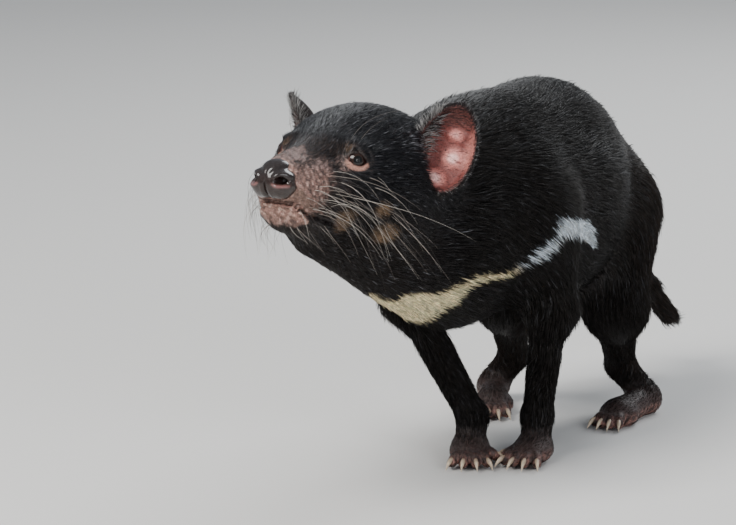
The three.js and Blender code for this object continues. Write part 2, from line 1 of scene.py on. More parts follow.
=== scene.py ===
# %% [markdown]
# A Tasmanian devil, life size, as a museum would show it: four feet on the floor, head raised and turned to
# its right. The part's solids give the outline. Here one skin takes their place, with eyes, nose and claws
# set into it and a coat of small tufts over it, built as real mesh so that it can leave Blender.

# %% Load the fixed frame
import bpy
import math
import numpy as np
from concurrent.futures import ThreadPoolExecutor
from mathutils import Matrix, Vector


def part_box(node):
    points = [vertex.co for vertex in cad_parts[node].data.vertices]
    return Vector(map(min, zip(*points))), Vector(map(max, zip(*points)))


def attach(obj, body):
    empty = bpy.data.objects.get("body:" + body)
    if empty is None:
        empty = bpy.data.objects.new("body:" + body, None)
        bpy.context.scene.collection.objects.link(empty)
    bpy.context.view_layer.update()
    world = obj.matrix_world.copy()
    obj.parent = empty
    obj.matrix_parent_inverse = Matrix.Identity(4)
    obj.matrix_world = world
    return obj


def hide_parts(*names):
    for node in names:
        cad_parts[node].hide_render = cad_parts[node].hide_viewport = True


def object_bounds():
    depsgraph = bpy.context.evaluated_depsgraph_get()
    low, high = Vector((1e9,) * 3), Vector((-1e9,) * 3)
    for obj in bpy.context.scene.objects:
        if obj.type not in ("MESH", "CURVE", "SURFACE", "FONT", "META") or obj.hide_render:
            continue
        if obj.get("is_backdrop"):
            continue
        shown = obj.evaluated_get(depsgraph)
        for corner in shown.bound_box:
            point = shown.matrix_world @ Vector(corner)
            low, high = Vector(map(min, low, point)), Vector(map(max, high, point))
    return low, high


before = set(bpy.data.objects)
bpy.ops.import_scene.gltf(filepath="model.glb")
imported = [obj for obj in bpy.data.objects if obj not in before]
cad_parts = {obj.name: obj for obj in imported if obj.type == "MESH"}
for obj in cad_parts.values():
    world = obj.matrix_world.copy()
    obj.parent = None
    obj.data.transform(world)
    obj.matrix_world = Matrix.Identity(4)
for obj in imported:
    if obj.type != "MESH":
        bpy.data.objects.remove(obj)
cad_box = [list(corner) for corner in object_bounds()]
print("The solids span", [[round(v, 3) for v in corner] for corner in cad_box])

# %% [markdown]
# The solids were made from soft forms, balls and tapered bones that melt into each other. A sculptor would
# start from the solids' mesh, but their facets are too coarse for a face. So the same forms are written out
# again here, in millimetres, and give a smooth distance to the animal's surface at any point.

# %% Soft forms, as in the solids
SHIFT = np.array([36.041, 37.026, 0.0])  # from the forms' own origin to the part's origin
HIP_TO_SHOULDER = 185.0
HIP_Y = 92.0
BEND = math.radians(16)
RADIUS = HIP_TO_SHOULDER / BEND


def on_spine(s, left, height):
    turn = BEND * max(s, 0)
    x = -RADIUS * (1 - math.cos(turn)) + left * math.cos(turn)
    y = HIP_Y - RADIUS * math.sin(turn) - min(s, 0) * HIP_TO_SHOULDER - left * math.sin(turn)
    return np.array([x, y, height])


def turned(yaw, pitch=0.0):
    c, s, d, t = math.cos(-yaw), math.sin(-yaw), math.cos(-pitch), math.sin(-pitch)
    return np.array([[c, -s, 0], [s, c, 0], [0, 0, 1]]) @ np.array([[1, 0, 0], [0, d, -t], [0, t, d]])


def dot(a, b):
    return np.einsum("ij,ij->i", a, b)


def unit(v):
    return v / np.maximum(np.linalg.norm(v, axis=-1, keepdims=True), 1e-9)


def ball(centre, radii, axes, melt):
    scaled, radii = axes / np.array(radii, float), np.array(radii, float)

    def distance(p):
        q = (p - centre) @ scaled
        k0 = np.sqrt(dot(q, q))
        g = q / radii
        return k0 * (k0 - 1) / (np.sqrt(dot(g, g)) + 1e-9)

    return distance, melt


def bone(a, b, r0, r1, melt):
    a = np.array(a, float)
    axis = np.array(b, float) - a

    def distance(p):
        q = p - a
        t = np.clip(q @ axis / (axis @ axis), 0, 1)
        q -= t[:, None] * axis
        return np.sqrt(dot(q, q)) - (r0 + (r1 - r0) * t)

    return distance, melt


def melt_in(d, b, k):
    h = np.maximum(k - np.abs(d - b), 0) / k
    return np.minimum(d, b) - h * h * k / 4


def blend(forms):
    def distance(p):
        d = forms[0][0](p)
        for form, k in forms[1:]:
            d = melt_in(d, form(p), k)
        return d

    return distance


def spread_out(field, p, piece=40000):
    """Runs a field over many points on all the cores."""
    if len(p) <= piece:
        return field(p)
    with ThreadPoolExecutor(4) as pool:
        return np.concatenate(list(pool.map(field, np.array_split(p, len(p) // piece + 1))))


# %% [markdown]
# The trunk is a short barrel, deepest behind the shoulders, on a spine that bends to the right. The skull is
# broad and carries heavy jaw muscles, which give the animal its wide cheeks.

# %% The trunk, neck and head
MIDDLE, HALF, WIDE = 186.5, 87.5, 70


def body_ball(s, height, radii, melt):
    return ball(on_spine(s, 0, height), radii, turned(BEND * max(s, 0)), melt)


HEAD_AXES = turned(math.radians(15.5), math.radians(12))
HEAD_AT = on_spine(1.63, 0, 240)


def in_head(left, back, up):
    return HEAD_AT + HEAD_AXES @ np.array([left, back, up], float)


def to_head(p):
    return (p - HEAD_AT) @ HEAD_AXES


def head_ball(left, back, up, radii, melt):
    return ball(in_head(left, back, up), radii, HEAD_AXES, melt)


trunk = [
    body_ball(0.47, MIDDLE, [WIDE - 3, 99, HALF], 30),
    body_ball(0.0, MIDDLE - 28, [WIDE - 12, 56, HALF - 19], 34),
    body_ball(0.7, MIDDLE + 24, [WIDE - 22, 92, HALF - 26], 24),
    body_ball(0.98, MIDDLE + 2, [WIDE - 6, 72, HALF - 10], 40),
    body_ball(1.08, MIDDLE + 26, [WIDE - 18, 70, HALF - 32], 26),
]
neck = [
    body_ball(1.34, 199, [56, 64, 60], 30),
    bone(on_spine(1.24, 0, 157), in_head(0, -56, -48), 50, 25, 30),
]
head = [
    head_ball(0, -12, 3, [50, 54, 39], 26),
    head_ball(0, -50, -2, [34, 38, 26], 18),
    head_ball(0, -86, -20, [22, 36, 19], 16),
    bone(in_head(0, -48, 6), in_head(0, -112, -15), 14, 10, 14),
    bone(in_head(0, -26, -42), in_head(0, -92, -43), 27, 11.5, 16),
    head_ball(0, -98, -45, [12.5, 12, 9], 8),
]
for side in (1, -1):
    head += [
        head_ball(35 * side, -14, -18, [25, 36, 33], 30),
        head_ball(33 * side, -48, -20, [14, 24, 17], 22),
        head_ball(9.5 * side, -100, -27.5, [12, 19, 11], 8),
        head_ball(12.5 * side, -79, -42.5, [12, 27, 10.5], 12),
        head_ball(27 * side, -57, 9, [10, 13, 5], 8),
        head_ball(47 * side, 23, 4, [13, 11, 23], 14),
    ]

# %% [markdown]
# The legs are short for the body. The forefeet stand close together and the hind feet rest on the whole sole.
# The thick tail stores fat and hangs behind the left thigh.

# %% The legs and the tail
LEGS = {
    "fore_left": dict(root=on_spine(0.95, 42, 187), elbow=on_spine(0.86, 49, 118), wrist=(17, -72, 32),
                      foot=(18, -84, 0), yaw=0.1, side=1, fore=True),
    "fore_right": dict(root=on_spine(1.02, -43, 187), elbow=on_spine(1.0, -60, 118), wrist=(-29, -86, 32),
                       foot=(-27, -98, 0), yaw=-0.3, side=-1, fore=True),
    "hind_left": dict(root=on_spine(0.04, 29, 157), elbow=on_spine(0.2, 44, 94), wrist=(37, 92, 38),
                      foot=(51, 64, 0), yaw=0.2, side=1, fore=False),
    "hind_right": dict(root=on_spine(0.04, -29, 157), elbow=on_spine(0.2, -45, 94), wrist=(-52, 100, 38),
                       foot=(-60, 70, 0), yaw=-0.3, side=-1, fore=False),
}


def on_foot(leg, left, back, up):
    return np.array(leg["foot"], float) + turned(leg["yaw"]) @ np.array([left, back, up], float)


def leg_forms(leg):
    root, elbow, wrist = leg["root"], leg["elbow"], leg["wrist"]
    if leg["fore"]:
        return [
            bone(root, elbow, 36, 22, 22),
            bone(elbow, wrist, 18, 11, 16),
            bone(wrist, on_foot(leg, 0, 4, 14), 11, 12, 8),
            ball(on_foot(leg, 0, -4, 9), [16, 18, 10.5], turned(leg["yaw"]), 8),
        ]
    return [
        bone(root, elbow, 41, 27, 24),
        bone(elbow, wrist, 22, 11, 18),
        bone(wrist, on_foot(leg, 0, 30, 12), 11, 12, 8),
        bone(on_foot(leg, 0, 30, 10.5), on_foot(leg, 0, -16, 9), 11.5, 12, 8),
        ball(on_foot(leg, 0, -16, 8), [16, 14, 9.5], turned(leg["yaw"]), 8),
    ]


def along_curve(points, steps):
    """A smooth curve through a few points, as a list of places along it."""
    p = np.array([2 * np.array(points[0]) - points[1], *points, 2 * np.array(points[-1]) - points[-2]], float)
    out = []
    for t in np.linspace(0, len(points) - 1 - 1e-9, steps):
        i, f = int(t), t - int(t)
        a, b, c, d = p[i:i + 4]
        out.append(0.5 * (2 * b + (c - a) * f + (2 * a - 5 * b + 4 * c - d) * f**2
                          + (3 * b - a - 3 * c + d) * f**3))
    return np.array(out)


tail_line = along_curve([(0, 128, 190), (0, 166, 164), (3, 200, 126), (13, 230, 84), (33, 252, 46)], 61)
tail = []
for i in range(6):
    a, b = i / 6, (i + 1) / 6
    ends = tail_line[10 * i], tail_line[10 * i + 10]
    tail.append(bone(*ends, 25 - 17 * a**1.1, 25 - 17 * b**1.1, 6 if i else 30))
legs = {name: leg_forms(leg) for name, leg in LEGS.items()}
animal = blend(trunk + neck + head + [form for forms in legs.values() for form in forms] + tail)
print("The animal is", len(trunk + neck + head + tail) + sum(len(v) for v in legs.values()), "soft forms")

# %% [markdown]
# The coat's tips reach the solids' surface, so the skin lies deeper by as much as the coat is thick: most on
# the trunk, less on the legs and head, and almost nothing on the muzzle and feet.

# %% How deep the coat is
def ramp(x, low, high):
    t = np.clip((x - low) / (high - low), 0, 1)
    return t * t * (3 - 2 * t)


def coat_depth(p, q):
    """p is a place in the forms' frame and q the same place in the head's frame."""
    on_head = 1 - ramp(q[:, 1], -5, 55)
    depth = 4.4 - 2.4 * on_head
    depth = depth * (0.3 + 0.7 * ramp(q[:, 1], -96, -50))
    low = np.where(q[:, 1] > 40, ramp(p[:, 2], 18, 110), 1)
    return 0.4 + (depth - 0.4) * (0.12 + 0.88 * low)


# %% [markdown]
# The eyes are small and set wide. The part's solids say where they are. Each opening between the lids is an
# almond about 14 mm long, and the lids wrap the eyeball, so they are cut into the skin's own form.

# %% Where the eyes sit
EYE_RADIUS = 8.2
EYES = {}
for side, name in ((1, "left"), (-1, "right")):
    low, high = [np.array(corner) * 1000 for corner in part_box("eye_" + name)]
    centre = (low + high) / 2 - SHIFT
    gaze = unit(HEAD_AXES @ np.array([0.76 * side, -0.62, 0.12]))
    across = unit(np.cross(HEAD_AXES[:, 2], gaze))
    EYES[name] = dict(centre=centre, gaze=gaze, across=across, up=np.cross(gaze, across), side=side)
print("Eyes at", {k: np.round(to_head(v["centre"][None])[0], 1) for k, v in EYES.items()})


def in_eye(eye, p):
    q = p - eye["centre"]
    return q @ eye["across"] * eye["side"], q @ eye["up"], q @ eye["gaze"]


def lid_opening(eye, p):
    """Distance from the almond between the lids, across the line of sight. Negative is open."""
    a, b, g = in_eye(eye, p)
    tilted = b + 0.10 * a
    half = np.where(tilted > 0, 4.3, 3.7) * (1 - np.clip(np.abs(a) / 7.0, 0, 1.5) ** 2.2)
    return (np.abs(tilted) - half) * 0.8, g


# %% [markdown]
# Each ear opens over a hollow in the side of the head, in front of the mound that carries it. The hollow has
# the ear's own frame, and is melted out of the head's form.

# %% Where the ears sit
EARS = {
    "left": dict(at=(61.5, -4, 15.5), turn=0.5, out=0.27, lean=0.17, side=1),
    "right": dict(at=(-68.5, 5.8, 11.5), turn=-0.95, out=-0.26, lean=-0.35, side=-1),
}
EAR_WIDTH, EAR_HEIGHT, EAR_DEPTH, EAR_WALL = 42, 64, 12, 2.6


def ear_axes(ear):
    a, b, c = ear["turn"], ear["out"], -ear["lean"]
    about_up = np.array([[math.cos(a), -math.sin(a), 0], [math.sin(a), math.cos(a), 0], [0, 0, 1]])
    outward = np.array([[math.cos(b), 0, math.sin(b)], [0, 1, 0], [-math.sin(b), 0, math.cos(b)]])
    backward = np.array([[1, 0, 0], [0, math.cos(c), -math.sin(c)], [0, math.sin(c), math.cos(c)]])
    return HEAD_AXES @ about_up @ outward @ backward


hollows = []
for ear in EARS.values():
    bowl = [EAR_WIDTH / 2 - 1, EAR_DEPTH + 1, EAR_HEIGHT / 2 - 3]
    hollows.append(ball(in_head(*ear["at"]), bowl, ear_axes(ear), 3.5))
print("Ears at", [ear["at"] for ear in EARS.values()])

# %% [markdown]
# The mouth is closed. Its line runs from under the nose, down over the front of the lip and back to a corner
# below the eye. A crease along that line, with the lip standing a little proud above it, reads as a mouth.

# %% The line of the mouth
LIP_LINE = np.array([  # how far back and how far up the line runs
    (-130, -33.8), (-113, -34.8), (-111, -36.2), (-109, -38.2), (-105.5, -40.8), (-100.5, -42.7),
    (-92, -44.3), (-82, -45.9), (-74, -47.5),
])


def past_lips(q):
    """How far a place is above the line of the mouth, and how much of the mouth is there."""
    height = np.interp(q[:, 1], LIP_LINE[:, 0], LIP_LINE[:, 1])
    return q[:, 2] - height, 1 - ramp(q[:, 1], -80, -70)


def skin_field(p):
    q = to_head(p)
    d = animal(p) + coat_depth(p, q)
    near = np.nonzero((np.abs(q[:, 1]) < 34) & (np.abs(q[:, 2]) < 60))[0]
    for hollow, k in hollows:
        d[near] = -melt_in(-d[near], hollow(p[near]), k)
    near = np.nonzero((q[:, 1] < 10) & (np.abs(q).max(1) < 160))[0]
    if len(near):
        d[near] = face_form(p[near], q[near], d[near])
    low = np.nonzero(p[:, 2] < 45)[0]
    if len(low):
        d[low] = paw_form(p[low], d[low])
    return d


def face_form(p, q, d):
    for eye in EYES.values():
        a, b, g = in_eye(eye, p)
        r = np.sqrt(a * a + b * b + g * g)
        # lids round the eyeball, thicker above, and a soft bag below them
        d = melt_in(d, r - EYE_RADIUS - 1.3, 2.5)
        bag = np.sqrt((a / 1.7) ** 2 + ((b + 7.5) / 0.9) ** 2 + (g - 4) ** 2)
        d = d - 0.9 * np.exp(-((bag / 4.5) ** 2))
        fold = np.sqrt((a / 1.5) ** 2 + (b - 7.0) ** 2)
        d = d + 0.9 * np.exp(-(fold / 1.5) ** 2) * (g > 0)
        opening, g = lid_opening(eye, p)
        pit = np.maximum(opening, 2 - g)
        d = -melt_in(-d, pit, 0.9)
    above, much = past_lips(q)
    d = d + much * (3.0 * np.exp(-((above / 0.9) ** 2)) - 1.0 * np.exp(-(((above - 2.6) / 2.0) ** 2)))
    d = d - 1.3 * much * np.exp(-(((above + 2.8) / 2.0) ** 2))
    # the groove under the nose, and the soft ridges of the whisker beds
    philtrum = np.exp(-((q[:, 0] / 1.1) ** 2)) * ramp(-q[:, 1], 108, 114) * ramp(above, 0, 2)
    d = d + 1.3 * philtrum
    beds = np.sin(q[:, 2] * 0.9 + 0.25 * q[:, 1]) * np.sin(q[:, 1] * 0.62)
    there = ramp(-q[:, 1], 84, 94) * ramp(np.abs(q[:, 0]), 10, 16) * ramp(above, 1, 5) * ramp(-q[:, 2], 14, 20)
    return d - 0.35 * beds * there


# %% [markdown]
# Each foot has separate toes. Melting a few thin bones into the paw, with little melt between them, leaves
# the grooves between toes. The soles end flat on the floor, as soft pads do under weight.

# %% The toes
TOES = {
    True: dict(angles=[-0.5, -0.18, 0.14, 0.46], start=13, length=14, ahead=0, claw=11),
    False: dict(angles=[-0.42, -0.14, 0.14, 0.42], start=13, length=11, ahead=14, claw=9),
}


def toes_of(leg):
    """Each toe as the places of its knuckles and its claw."""
    kind = TOES[leg["fore"]]
    toes = [(angle, kind["start"], kind["length"], kind["claw"]) for angle in kind["angles"]]
    if leg["fore"]:
        toes.append((-1.25 * leg["side"], 10, 10, 8))
    for angle, start, length, claw in toes:
        def at(along, up):
            return on_foot(leg, math.sin(angle) * along, -math.cos(angle) * along - kind["ahead"], up)
        end = start + length
        yield dict(knuckles=[at(start - 8, 8.5), at(start, 9.2), at(end - 5, 7.8), at(end + 1, 5.2)],
                   claw=[at(end - 3, 6.6), at(end + claw * 0.45, 6.4), at(end + claw * 0.98, 1.2)])


toe_forms = []
for leg in LEGS.values():
    for toe in toes_of(leg):
        k = toe["knuckles"]
        toe_forms += [bone(k[0], k[1], 3.6, 4.5, 2.5), bone(k[1], k[2], 4.4, 4.2, 1.5),
                      bone(k[2], k[3], 4.2, 3.5, 1.5)]
print(len(toe_forms) // 3, "toes")


def paw_form(p, d):
    for form, k in toe_forms:
        d = melt_in(d, form(p), k)
    return np.maximum(d, 0.15 - p[:, 2])


# %% [markdown]
# A mesh is drawn over the form by surface nets: every small cell of a grid that the surface crosses gets one
# point, and points of neighbouring cells are joined by quads. Then each point slides onto the surface.
# Metaballs or a voxel remesh would do nearly the same, but they round off lids and lips.

# %% Drawing a mesh over a form
def slide(field, p, times=3, most=1.0):
    """Moves points onto the surface of a form, and gives its direction there."""
    h = 0.15
    for _ in range(times):
        d = spread_out(field, p)
        g = np.stack([spread_out(field, p + e) - spread_out(field, p - e) for e in np.eye(3) * h], 1) / (2 * h)
        step = np.clip(d / np.maximum(dot(g, g), 0.2), -most, most)
        p = p - step[:, None] * g
    return p, unit(g)


def nets(field, low, high, step, coarse=4):
    axes = [np.arange(a, b + step * coarse, step) for a, b in zip(low, high)]
    sizes = [len(a) // coarse * coarse for a in axes]
    axes = [a[:n] for a, n in zip(axes, sizes)]
    rough = np.stack(np.meshgrid(*[a[::coarse] + step * (coarse - 1) / 2 for a in axes], indexing="ij"), -1)
    guess = spread_out(field, rough.reshape(-1, 3)).reshape(rough.shape[:3])
    big = np.kron(guess, np.ones((coarse,) * 3))
    near = np.abs(big) < step * coarse * 1.1 + 2
    values = np.where(big < 0, -9.0, 9.0)
    i, j, k = np.nonzero(near)
    values[near] = spread_out(field, np.stack([axes[0][i], axes[1][j], axes[2][k]], 1))
    values[values == 0] = 1e-6
    inside = values < 0
    count = sum(inside[a:sizes[0] - 1 + a, b:sizes[1] - 1 + b, c:sizes[2] - 1 + c].astype(np.int8)
                for a in (0, 1) for b in (0, 1) for c in (0, 1))
    cells = np.stack(np.nonzero((count > 0) & (count < 8)), 1)
    total, number = np.zeros((len(cells), 3)), np.zeros(len(cells))
    for axis in range(3):
        for u in (0, 1):
            for v in (0, 1):
                start = np.insert([u, v], axis, 0)
                end = np.insert([u, v], axis, 1)
                a, b = values[tuple((cells + start).T)], values[tuple((cells + end).T)]
                cut = (a < 0) != (b < 0)
                t = np.where(cut, a / np.where(cut, a - b, 1), 0)
                total += cut[:, None] * (start + t[:, None] * (end - start))
                number += cut
    points = np.array([a[0] for a in axes]) + step * (cells + total / number[:, None])
    where = np.full(np.array(sizes) - 1, -1)
    where[tuple(cells.T)] = np.arange(len(cells))
    quads = []
    for axis in range(3):
        b, c = (axis + 1) % 3, (axis + 2) % 3
        here = np.moveaxis(inside, (axis, b, c), (0, 1, 2))
        cell = np.moveaxis(where, (axis, b, c), (0, 1, 2))
        first, second = here[:-1, 1:-1, 1:-1], here[1:, 1:-1, 1:-1]
        x, y, z = np.nonzero(first != second)
        ring = np.stack([cell[x, y, z], cell[x, y + 1, z], cell[x, y + 1, z + 1], cell[x, y, z + 1]], 1)
        flip = ~first[x, y, z]
        ring[flip] = ring[flip][:, ::-1]
        quads.append(ring)
    return points, np.concatenate(quads)


# The box has to hold the whole animal, because a surface that leaves it is cut open there.
SKIN_LOW, SKIN_HIGH, SKIN_CELL = (-140, -328, -3), (84, 262, 290), 2.5
points, quads = nets(skin_field, SKIN_LOW, SKIN_HIGH, SKIN_CELL)
print("Skin before refining:", len(points), "points,", len(quads), "quads")

# %% [markdown]
# The face and feet need points every millimetre, and the eyes every half millimetre, while the trunk doesn't.
# So only the quads there are split in four. Quads along the border take the extra points as corners, which
# leaves no crack.

# %% Finer quads on the face and feet
def refine(points, quads, odd, chosen):
    """Splits the chosen quads. odd holds the faces of more than four corners."""
    pick = quads[chosen]
    ends = np.sort(np.stack([pick, np.roll(pick, -1, 1)], 2).reshape(-1, 2), 1)
    keys, inverse = np.unique(ends[:, 0] * len(points) + ends[:, 1], return_inverse=True)
    halves = (points[keys // len(points)] + points[keys % len(points)]) / 2
    mid = inverse.reshape(-1, 4) + len(points)
    centre = np.arange(len(pick)) + len(points) + len(keys)
    small = np.concatenate([np.stack([pick[:, i], mid[:, i], centre, mid[:, i - 1]], 1) for i in range(4)])
    rest = quads[~chosen]
    ends = np.sort(np.stack([rest, np.roll(rest, -1, 1)], 2), 2)
    edge = ends[..., 0] * len(points) + ends[..., 1]
    place = np.minimum(np.searchsorted(keys, edge), len(keys) - 1)
    split = keys[place] == edge
    border = split.any(1)
    for corners, cut, at in zip(rest[border], split[border], place[border]):
        face = []
        for i in range(4):
            face += [corners[i]] + ([at[i] + len(points)] if cut[i] else [])
        odd.append(face)
    all_points = np.concatenate([points, halves, points[pick].mean(1)])
    return all_points, np.concatenate([rest[~border], small]), odd


def smooth(points, quads, times):
    for _ in range(times):
        ends = np.concatenate([quads[:, [i, (i + 1) % 4]] for i in range(4)])
        total = np.zeros_like(points)
        for axis in range(3):
            total[:, axis] = np.bincount(ends[:, 0], points[ends[:, 1], axis], len(points))
            total[:, axis] += np.bincount(ends[:, 1], points[ends[:, 0], axis], len(points))
        number = np.bincount(ends.ravel(), minlength=len(points))
        points = np.where(number[:, None] > 0, 0.5 * points + 0.5 * total / np.maximum(number, 1)[:, None], points)
    return points


points, normals = slide(skin_field, points, 2)
points, normals = slide(skin_field, smooth(points, quads, 2), 2)
odd = []
middle = points[quads].mean(1)
q = to_head(middle)
chosen = ((q[:, 1] < -40) & (q[:, 2] > -62)) | (middle[:, 2] < 26)
points, quads, odd = refine(points, quads, odd, chosen)
middle = points[quads].mean(1)
size = np.linalg.norm(points[quads[:, 0]] - points[quads[:, 1]], axis=1)
chosen = np.zeros(len(quads), bool)
for eye in EYES.values():
    chosen |= (np.linalg.norm(middle - eye["centre"] - 6 * eye["gaze"], axis=1) < 11) & (size < 2)
above, much = past_lips(to_head(middle))
chosen |= (np.abs(above) < 4.5) & (much > 0.05) & (to_head(middle)[:, 1] < -68) & (size < 2)
points, quads, odd = refine(points, quads, odd, chosen)
points, normals = slide(skin_field, points, 3, 0.6)


def open_edges(quads, odd):
    """How many edges belong to one face only. A closed skin has none."""
    ends = [quads[:, [i, (i + 1) % 4]] for i in range(4)]
    ends.append(np.array([pair for face in odd for pair in zip(face, face[1:] + face[:1])], int).reshape(-1, 2))
    uses = np.unique(np.sort(np.concatenate(ends), 1), axis=0, return_counts=True)[1]
    return int((uses == 1).sum())


print("The skin has", open_edges(quads, odd), "open edges")
print("Skin:", len(points), "points,", len(quads), "quads and", len(odd), "faces of more corners")

# %% [markdown]
# The ears are round, thin and nearly bare inside. A closed cup is drawn ring by ring from its middle, the
# inside first and then the back, so that its folds and its rolled rim can be shaped by plain formulas.

# %% The ears
def ear_folds(x, z):
    """How far the folds stand up inside an ear, x outward from the head and z up."""
    up = 4.6 * np.exp(-(((x - 7) / 7) ** 2) - ((z + 4) / 7) ** 2)
    up += 3.4 * np.exp(-(((x - 3) / 6) ** 2) - ((z - 12) / 4.8) ** 2)
    up += 5.0 * np.exp(-((x / 7.5) ** 2) - ((z + 22) / 6) ** 2)
    up += 4.0 * np.exp(-(((x + 13) / 4) ** 2) - ((z + 6) / 13) ** 2)
    return up


def ear_mesh(ear, rings=30, steps=80):
    """Points, quads, and how far in or out each point is: x, z, spread and which face of the ear."""
    turn = np.linspace(0, 2 * np.pi, steps, endpoint=False)
    spread = np.repeat(((np.arange(rings) + 0.3) / (rings - 0.7)) ** 0.85, steps)
    turn = np.tile(turn, rings)
    rise = np.sin(turn) * spread
    narrow = np.where(rise > 0, 1 - 0.16 * rise, 1 - 0.12 * rise)
    across = np.sign(np.cos(turn)) * np.abs(np.cos(turn)) ** np.where(rise < 0, 0.72, 1.0)
    x = EAR_WIDTH / 2 * spread * across * narrow
    z = EAR_HEIGHT / 2 * rise
    y = EAR_DEPTH * (1 - spread**2.4)
    s = ear["side"]
    inside = ramp(1 - spread, 0.04, 0.3)
    inner = y - inside * ear_folds(x * s, z)
    inner += 0.35 * np.sin(z * 1.1 + x * s * 0.2) * inside * ramp(z, -14, 0)
    inner -= 0.9 * np.exp(-(((spread - 0.93) / 0.05) ** 2))
    outer = y + EAR_WALL - 1.2 * spread**3
    flare = 1 + 0.03 * spread
    local = np.concatenate([np.stack([x, inner, z], 1), np.stack([x * flare, outer, z * flare], 1)])
    ring = np.arange(rings * steps).reshape(rings, steps)
    near, far = ring[:-1], ring[1:]
    quads = np.stack([near, far, np.roll(far, -1, 1), np.roll(near, -1, 1)], -1).reshape(-1, 4)
    rim = np.stack([ring[-1], ring[-1] + rings * steps, np.roll(ring[-1], -1) + rings * steps,
                    np.roll(ring[-1], -1)], -1)
    faces = np.concatenate([quads, quads[:, ::-1] + rings * steps, rim])
    place = np.array(ear["at"], float)
    points = in_head(*place) + local @ ear_axes(ear).T
    return points, faces, local, np.concatenate([spread, spread]), np.arange(len(local)) >= rings * steps


def point_normals(points, quads):
    across = np.cross(points[quads[:, 2]] - points[quads[:, 0]], points[quads[:, 3]] - points[quads[:, 1]])
    total = np.stack([sum(np.bincount(quads[:, i], across[:, a], len(points)) for i in range(4))
                      for a in range(3)], 1)
    return unit(total)


ears = {name: ear_mesh(ear) for name, ear in EARS.items()}
print("Each ear has", len(ears["left"][0]), "points")

# %% [markdown]
# A devil is black with a cream band across its chest and a pale patch on each shoulder. The muzzle, the rims
# of the eyes and the inside of the ears are bare and pink, and the cheeks have tan patches. Skin and tufts
# ask the same functions for their colour, so that the markings agree. The edges of the mark on the chest were
# measured in the photo, so they are laid onto the chest from the photo's side. The mark is fixed to the animal
# and kept on its points, so it stays where it is in every view.

# %% Where the markings are
def noise(p, size, seed):
    """Smooth noise between about -1 and 1, with lumps of one size in millimetres."""
    r = np.random.default_rng(seed)
    waves = unit(r.normal(size=(7, 3))) * 2 * np.pi / size * r.uniform(0.6, 1.5, (7, 1))
    return np.sin(p @ waves.T + r.uniform(0, 2 * np.pi, 7)).sum(1) / 3


MARK = np.array([  # the pale mark on the chest: how far across it is, and its top and bottom edges there
    (-79.4, -31.6, -33.1), (-73.5, -34.2, -38.0), (-69.1, -35.7, -41.2), (-64.0, -36.4, -45.4), (-58.8, -36.0, -48.5),
    (-55.1, -33.1, -50.9), (-51.5, -31.3, -51.8), (-45.6, -31.6, -52.7), (-39.0, -31.8, -52.2), (-33.1, -31.8, -50.9),
    (-28.7, -31.6, -47.4), (-24.3, -30.1, -44.1), (-19.9, -28.2, -42.3), (-14.7, -25.6, -40.4), (-11.8, -23.9, -36.0),
    (-8.8, -22.1, -31.8), (-2.2, -18.9, -26.3), (2.2, -16.5, -25.6), (9.6, -16.2, -24.5), (16.9, -16.0, -22.4),
    (22.1, -15.7, -20.8), (27.9, -15.1, -16.5), (35.3, -11.6, -13.1), (39.7, -7.4, -11.0), (44.1, -2.4, -9.2),
    (50.0, 2.2, -5.5), (56.4, 7.4, -1.8), (58.8, 16.9, 3.7), (61.0, 19.1, 7.0), (64.7, 21.3, 8.1), (69.9, 20.6, 7.9),
    (75.0, 19.9, 6.3), (79.4, 21.3, 4.0), (83.5, 16.2, 2.2), (85.5, 9.0, 2.2),
])
AZIMUTH, ELEVATION = math.radians(17), math.radians(11)  # of the photo's view
PHOTO_FROM = 3000  # millimetres
ahead = np.array([math.sin(AZIMUTH) * math.cos(ELEVATION), -math.cos(AZIMUTH) * math.cos(ELEVATION),
                  math.sin(ELEVATION)])
rightward = np.array([math.cos(AZIMUTH), math.sin(AZIMUTH), 0])
MARK_AT = np.array([-21.14, -92.33, 159.0])
FAR_BAND = [  # the thin band over the right shoulder: place and half width
    (-77, -62, 176, 6.5), (-82, -82, 172, 5), (-88, -104, 160, 2.5), (-90, -130, 148, 2.0), (-82, -158, 138, 2.0),
    (-72, -188, 136, 1.6), (-61, -209, 143, 1.4),
]
band = along_curve([b[:3] for b in FAR_BAND], 61)
band_half = np.interp(np.linspace(0, 1, 61), np.linspace(0, 1, len(FAR_BAND)), [b[3] for b in FAR_BAND])
band, _ = slide(skin_field, band, 4, 6.0)


def chest_mark(p):
    """How far outside the mark a place is, in millimetres, and how far across the chest."""
    q = p - MARK_AT
    near = 1 - q @ ahead / PHOTO_FROM
    across, up = q @ rightward / near, q @ np.cross(ahead, rightward) / near
    top, low = np.interp(across, MARK[:, 0], MARK[:, 1]), np.interp(across, MARK[:, 0], MARK[:, 2])
    outside = np.abs(up - (top + low) / 2) - (top - low) / 2
    outside = np.maximum(outside, np.maximum(MARK[0, 0] - across, across - MARK[-1, 0]))
    # the tips of pale tufts reach past the edge
    outside += 0.5 + 1.3 * ramp(across, -22, -8) * (1 - ramp(across, 10, 26)) - 0.8 * ramp(across, 20, 30)
    hidden = p @ ahead < np.where(across > 44, 50, 132)
    return np.where(hidden, 99.0, outside), across


def spots(q, places):
    """Soft round spots on both sides of the head: left, back, up and radius."""
    out = np.zeros(len(q))
    for left, back, up, radius in places:
        for side in ((1, -1) if left else (1,)):
            r = np.linalg.norm(q - [left * side, back, up], axis=1)
            out = np.maximum(out, 1 - ramp(r, radius * 0.45, radius))
    return out


